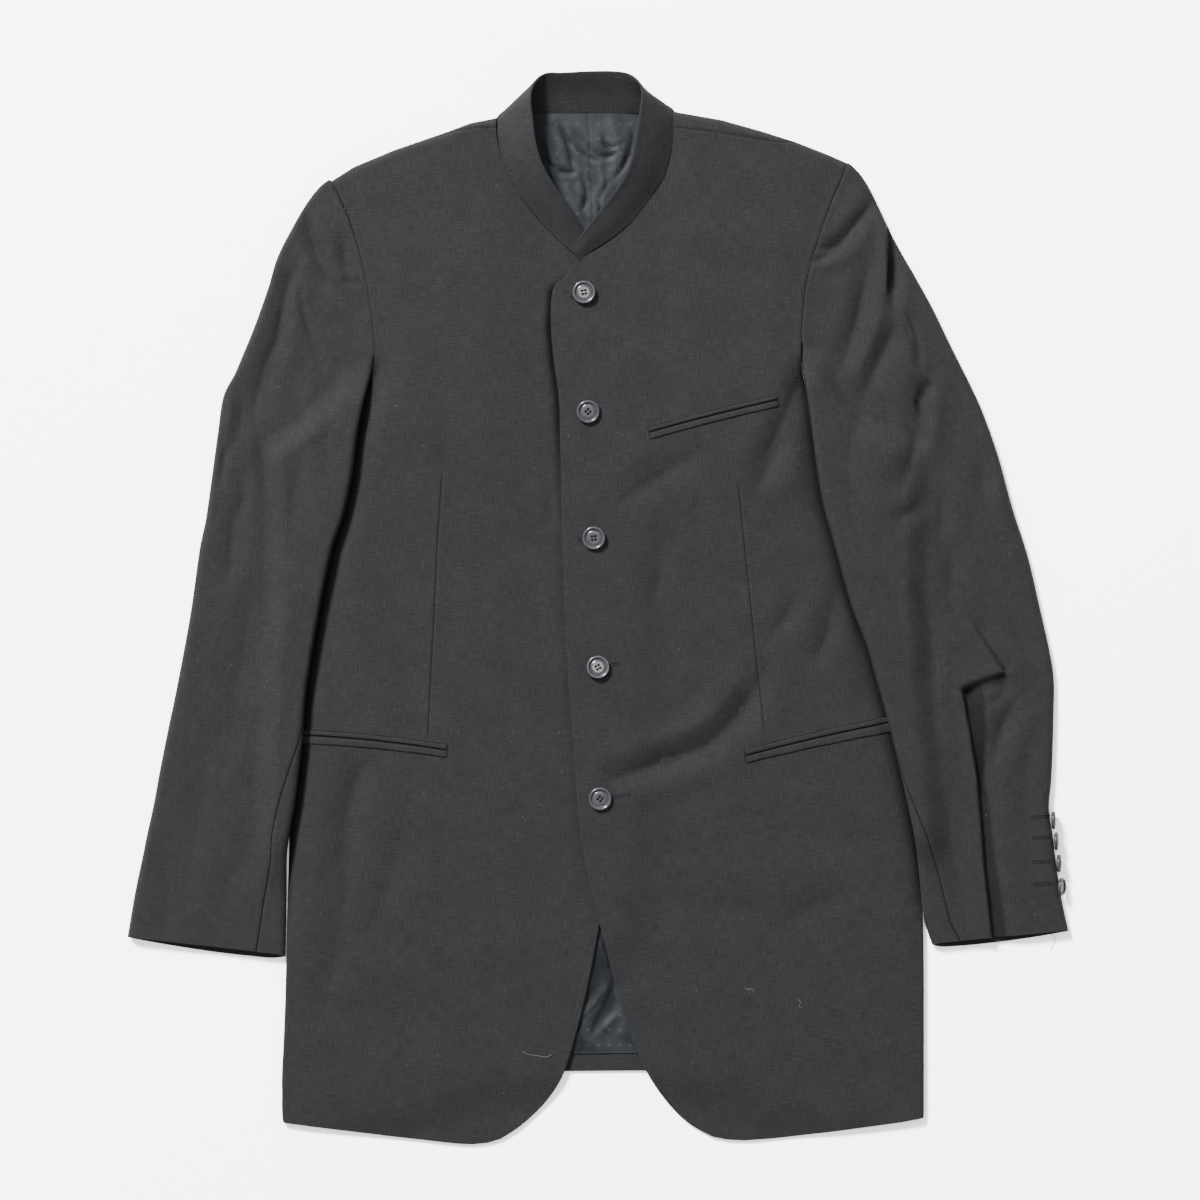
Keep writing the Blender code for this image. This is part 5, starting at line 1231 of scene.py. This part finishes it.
def turnedButton(plan, segments=44):  # x = r cos a, y = r sin a, z = h, for every profile point and angle
    radius = buttonProfile["radius"] * plan["radius"]
    height = buttonProfile["height"] * plan["height"]
    angle = np.linspace(0.0, 2.0 * math.pi, segments + 1)[:-1]
    points = stack(radius[:, None] * np.cos(angle), radius[:, None] * np.sin(angle),
                   np.broadcast_to(height[:, None], (len(radius), segments)))
    work = bmesh.new()
    mesh = bpy.data.meshes.new("blank")
    mesh.from_pydata((points.reshape(-1, 3) * mm).tolist(), [], tubeFaces(len(radius), segments))
    work.from_mesh(mesh)
    bmesh.ops.remove_doubles(work, verts=work.verts, dist=0.000005)
    bmesh.ops.recalc_face_normals(work, faces=work.faces)
    work.to_mesh(mesh)
    work.clear()
    for number in range(4):
        spot = math.radians(45.0 + 90.0 * number)
        outX, outY = plan["pitch"] * math.cos(spot) * mm, plan["pitch"] * math.sin(spot) * mm
        place = Matrix.Translation((outX, outY, 0.0))
        bmesh.ops.create_cone(work, cap_ends=True, segments=18, radius1=plan["hole"] * mm,
                              radius2=plan["hole"] * mm, depth=0.03, matrix=place)
    drillMesh = bpy.data.meshes.new("drill")
    work.to_mesh(drillMesh)
    work.free()
    blank = bpy.data.objects.new("blank", mesh)
    drill = bpy.data.objects.new("drill", drillMesh)
    jacket.objects.link(blank)
    jacket.objects.link(drill)
    cut = blank.modifiers.new("holes", "BOOLEAN")
    cut.operation = "DIFFERENCE"
    cut.object = drill
    bpy.context.view_layer.update()
    finished = bpy.data.meshes.new_from_object(blank.evaluated_get(bpy.context.evaluated_depsgraph_get()))
    bpy.data.objects.remove(blank)
    bpy.data.objects.remove(drill)
    return finished


# Thread bars: a half-round bundle of strands, z = height * sqrt(1 - v^2), from one hole to the next
def threadBars(plan):
    bars = bmesh.new()
    for sign in (-1.0, 1.0):
        for strand in (-0.2, 0.2):
            t = np.linspace(-1.0, 1.0, 13)
            a = np.linspace(0.0, 2.0 * math.pi, 9)[:-1]
            reach = plan["pitch"] * math.cos(math.radians(45.0))
            x = reach * t
            arch = plan["height"] * 0.62 - 0.9 + 1.25 * np.sqrt(np.clip(1.0 - t**6, 0.0, 1.0))
            ring = stack(x[:, None] + 0.0 * a, sign * reach + strand + 0.2 * np.cos(a) + 0.0 * x[:, None],
                         arch[:, None] + 0.2 * np.sin(a))
            mesh = bpy.data.meshes.new("strand")
            mesh.from_pydata((ring.reshape(-1, 3) * mm).tolist(), [], tubeFaces(len(t), len(a)))
            bars.from_mesh(mesh)
    bmesh.ops.recalc_face_normals(bars, faces=bars.faces)
    mesh = bpy.data.meshes.new("threadBars")
    bars.to_mesh(mesh)
    bars.free()
    return mesh


def placed(mesh, matrix, name, material):
    copy = mesh.copy()
    copy.transform(matrix)
    copy.materials.clear()
    copy.materials.append(material)
    copy.shade_smooth()
    copy.set_sharp_from_angle(angle=math.radians(38.0))
    piece = bpy.data.objects.new(name, copy)
    jacket.objects.link(piece)
    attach(piece, "root")
    return piece


def makeButtons():
    disc, bars = turnedButton(frontButtons), threadBars(frontButtons)
    rows = zip(frontButtons["places"], frontButtons["turns"], frontButtons["tilts"])
    for number, ((x, y), turn, (tiltX, tiltY)) in enumerate(rows, start=1):
        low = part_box("front_button_%d" % number)[0]
        place = Matrix.Translation((x * mm, y * mm, low[2] + frontButtons["lift"] * mm))
        place = place @ Matrix.Rotation(math.radians(tiltX), 4, "X")
        place = place @ Matrix.Rotation(math.radians(tiltY), 4, "Y") @ Matrix.Rotation(turn, 4, "Z")
        piece = placed(disc, place, "front_button_%d" % number, horn)
        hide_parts("front_button_%d" % number)
        placed(bars, place, "front_button_thread_%d" % number, darkThread)
    disc, bars = turnedButton(cuffButtons), threadBars(cuffButtons)
    for number, (y, degrees) in enumerate(zip(cuffButtons["y"], cuffButtons["lean"]), start=1):
        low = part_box("cuff_button_%d" % number)[0]
        lean = math.radians(degrees)
        baseX = low[0] / mm + cuffButtons["radius"] * math.sin(lean)
        turn = Matrix.Rotation(0.5 * math.pi - lean, 4, "Y")
        place = Matrix.Translation((baseX * mm, y * mm, cuffButtons["centreZ"] * mm)) @ turn
        piece = placed(disc, place, "cuff_button_%d" % number, cuffHorn)
        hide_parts("cuff_button_%d" % number)
        placed(bars, place, "cuff_button_thread_%d" % number, darkThread)


makeButtons()
print("buttons made")


# Stitched buttonholes and loose threads: a tube round a path, its radius rippled by the stitches

def tubePiece(name, path, radius, material, closed=False, ripple=0.0, pitch=1.0, sides=6):
    path = np.array(path, dtype=float)
    tangent = np.gradient(path, axis=0)
    if closed:
        tangent = np.roll(path, -1, axis=0) - np.roll(path, 1, axis=0)
    tangent = tangent / np.linalg.norm(tangent, axis=1, keepdims=True)
    across = np.cross(tangent, (0.0, 0.0, 1.0))
    across = across / np.maximum(np.linalg.norm(across, axis=1, keepdims=True), 1.0e-6)
    upward = np.cross(across, tangent)
    angle = np.linspace(0.0, 2.0 * math.pi, sides + 1)[:-1]
    along = travelOf(path)
    size = radius * (1.0 + ripple * np.sin(2.0 * math.pi * along / pitch))[:, None, None]
    points = (path[:, None] + size * (np.cos(angle)[None, :, None] * across[:, None]
                                      + np.sin(angle)[None, :, None] * upward[:, None]))
    flat = points.reshape(-1, 3)
    faces = tubeFaces(len(path), sides, closed)
    return makePiece(name, flat, faces, flat[:, :2], np.zeros(len(flat)), material)


buttonholes = {
    "half": 0.95, "thread": 0.42, "pitch": 1.15,
    "front": [(-23.2, 268.4, -5.0, 271.0), (-17.0, 169.0, 2.2, 172.0), (-15.4, 59.8, 4.0, 62.0),
              (-6.0, -50.0, 16.6, -46.2), (-2.0, -162.2, 26.6, -158.8)],
    "cuff": [(373.0, -178.2, 387.4, -177.0), (373.5, -195.9, 387.2, -195.2), (374.0, -216.6, 387.6, -216.0),
             (374.6, -235.6, 389.0, -235.0)],
}
threads = {
    "hem_thread_one": {"points": [(-65, -379.6), (-60, -382.4), (-53, -383.4), (-45, -384.6),
                                  (-39.5, -382.6)],
                       "on": "right_front", "radius": 0.17},
    "hem_thread_two": {"points": [(126, -325), (129, -326.6), (132, -326), (134, -328.4)],
                       "on": "left_front", "radius": 0.15},
    "hem_thread_three": {"points": [(171.5, -334), (174, -338), (172.6, -341), (175.6, -342.4)],
                         "on": "left_front", "radius": 0.15},
    "cuff_thread": {"points": [(388.6, -274), (390.4, -279), (394, -283), (392.6, -288), (390, -293)],
                    "on": None, "radius": 0.2},
}


def makeButtonhole(name, panel, x0, y0, x1, y1):
    length = math.hypot(x1 - x0, y1 - y0)
    alongX, alongY = (x1 - x0) / length, (y1 - y0) / length
    half = buttonholes["half"]
    straight = np.linspace(0.0, length, 46)
    bend = np.linspace(0.5 * math.pi, -0.5 * math.pi, 8)[1:-1]
    u = np.concatenate([straight, length + half * np.cos(bend), straight[::-1], -half * np.cos(bend)])
    v = np.concatenate([np.full(46, half), half * np.sin(bend), np.full(46, -half), -half * np.sin(bend)])
    x, y = x0 + alongX * u - alongY * v, y0 + alongY * u + alongX * v
    z = heightUnder(panel, x, y) + 0.18
    piece = tubePiece(name, np.stack([x, y, z], axis=-1), buttonholes["thread"], darkThread, True, 0.22,
                      buttonholes["pitch"])


def makeThread(name, plan):
    points = np.array(plan["points"], dtype=float)
    line = smoothRows({"x": points[:, 0], "y": points[:, 1]}, np.linspace(0.0, len(points) - 1.0, 28))
    ground = heightUnder(frontPieces[plan["on"]], line["x"], line["y"]) if plan["on"] else np.zeros(28)
    path = np.stack([line["x"], line["y"], ground + plan["radius"] + 0.15], axis=-1)
    tubePiece(name, path, plan["radius"], paleThread, sides=5)


for number, ends in enumerate(buttonholes["front"], start=1):
    makeButtonhole("front_buttonhole_%d" % number, frontPieces["left_front"], *ends)
for number, ends in enumerate(buttonholes["cuff"], start=1):
    makeButtonhole("cuff_buttonhole_%d" % number, sleevePieces[1][0], *ends)
for name, plan in threads.items():
    makeThread(name, plan)
print("buttonholes and threads made")


# Floor, light and camera

stage = {
    "floor": (0.975, 0.977, 0.955), "floorHalf": 6, "floorDrop": 0.0003, "height": 2.4, "clothLevel": 0.006,
    "sensor": 36.0, "field": 1.032, "centre": (0.0017, 0.0082),
    "sky": (0.95, 0.97, 1.0, 1.0), "skyStrength": 1.75,
}
lights = {
    "key": {"place": (-3.5, 5.0, 5.0), "target": (0.0, 0.05, 0.0), "size": (1.6, 1.6), "watts": 4700.0},
    "overhead": {"place": (0.0, 0.42, 3.1), "target": (0.0, 0.1, 0.0), "size": (0.9, 0.6), "watts": 36.0},
}


def makeFloor():
    mesh = bpy.data.meshes.new("floor")
    half = stage["floorHalf"]
    corners = [(-half, -half, 0), (half, -half, 0), (half, half, 0), (-half, half, 0)]
    mesh.from_pydata(corners, [], [(0, 1, 2, 3)])
    mesh.materials.append(baseMaterial("paleFloor", stage["floor"], 0.95)[0])
    floor = bpy.data.objects.new("floor", mesh)
    floor.location.z = -stage["floorDrop"]
    bpy.context.scene.collection.objects.link(floor)


def makeLight(name, plan):
    data = bpy.data.lights.new(name, "AREA")
    data.shape = "RECTANGLE"
    data.size, data.size_y = plan["size"]
    data.energy = plan["watts"]
    lamp = bpy.data.objects.new(name, data)
    lamp.location = plan["place"]
    towards = Vector(plan["target"]) - Vector(plan["place"])
    lamp.rotation_euler = towards.to_track_quat("-Z", "Y").to_euler()
    bpy.context.scene.collection.objects.link(lamp)


def makeCamera():
    data = bpy.data.cameras.new("camera")
    data.sensor_width = stage["sensor"]
    data.lens = stage["sensor"] * stage["height"] / stage["field"]
    data.clip_end = 50.0
    camera = bpy.data.objects.new("camera", data)
    camera.location = (*stage["centre"], stage["height"] + stage["clothLevel"])
    bpy.context.scene.collection.objects.link(camera)
    bpy.context.scene.camera = camera


def makeWorld():
    world = bpy.data.worlds.new("studio")
    world.use_nodes = True
    background = world.node_tree.nodes["Background"]
    background.inputs["Color"].default_value = stage["sky"]
    background.inputs["Strength"].default_value = stage["skyStrength"]
    bpy.context.scene.world = world


makeFloor()
for name, plan in lights.items():
    makeLight(name, plan)
makeWorld()
makeCamera()
print("stage set")
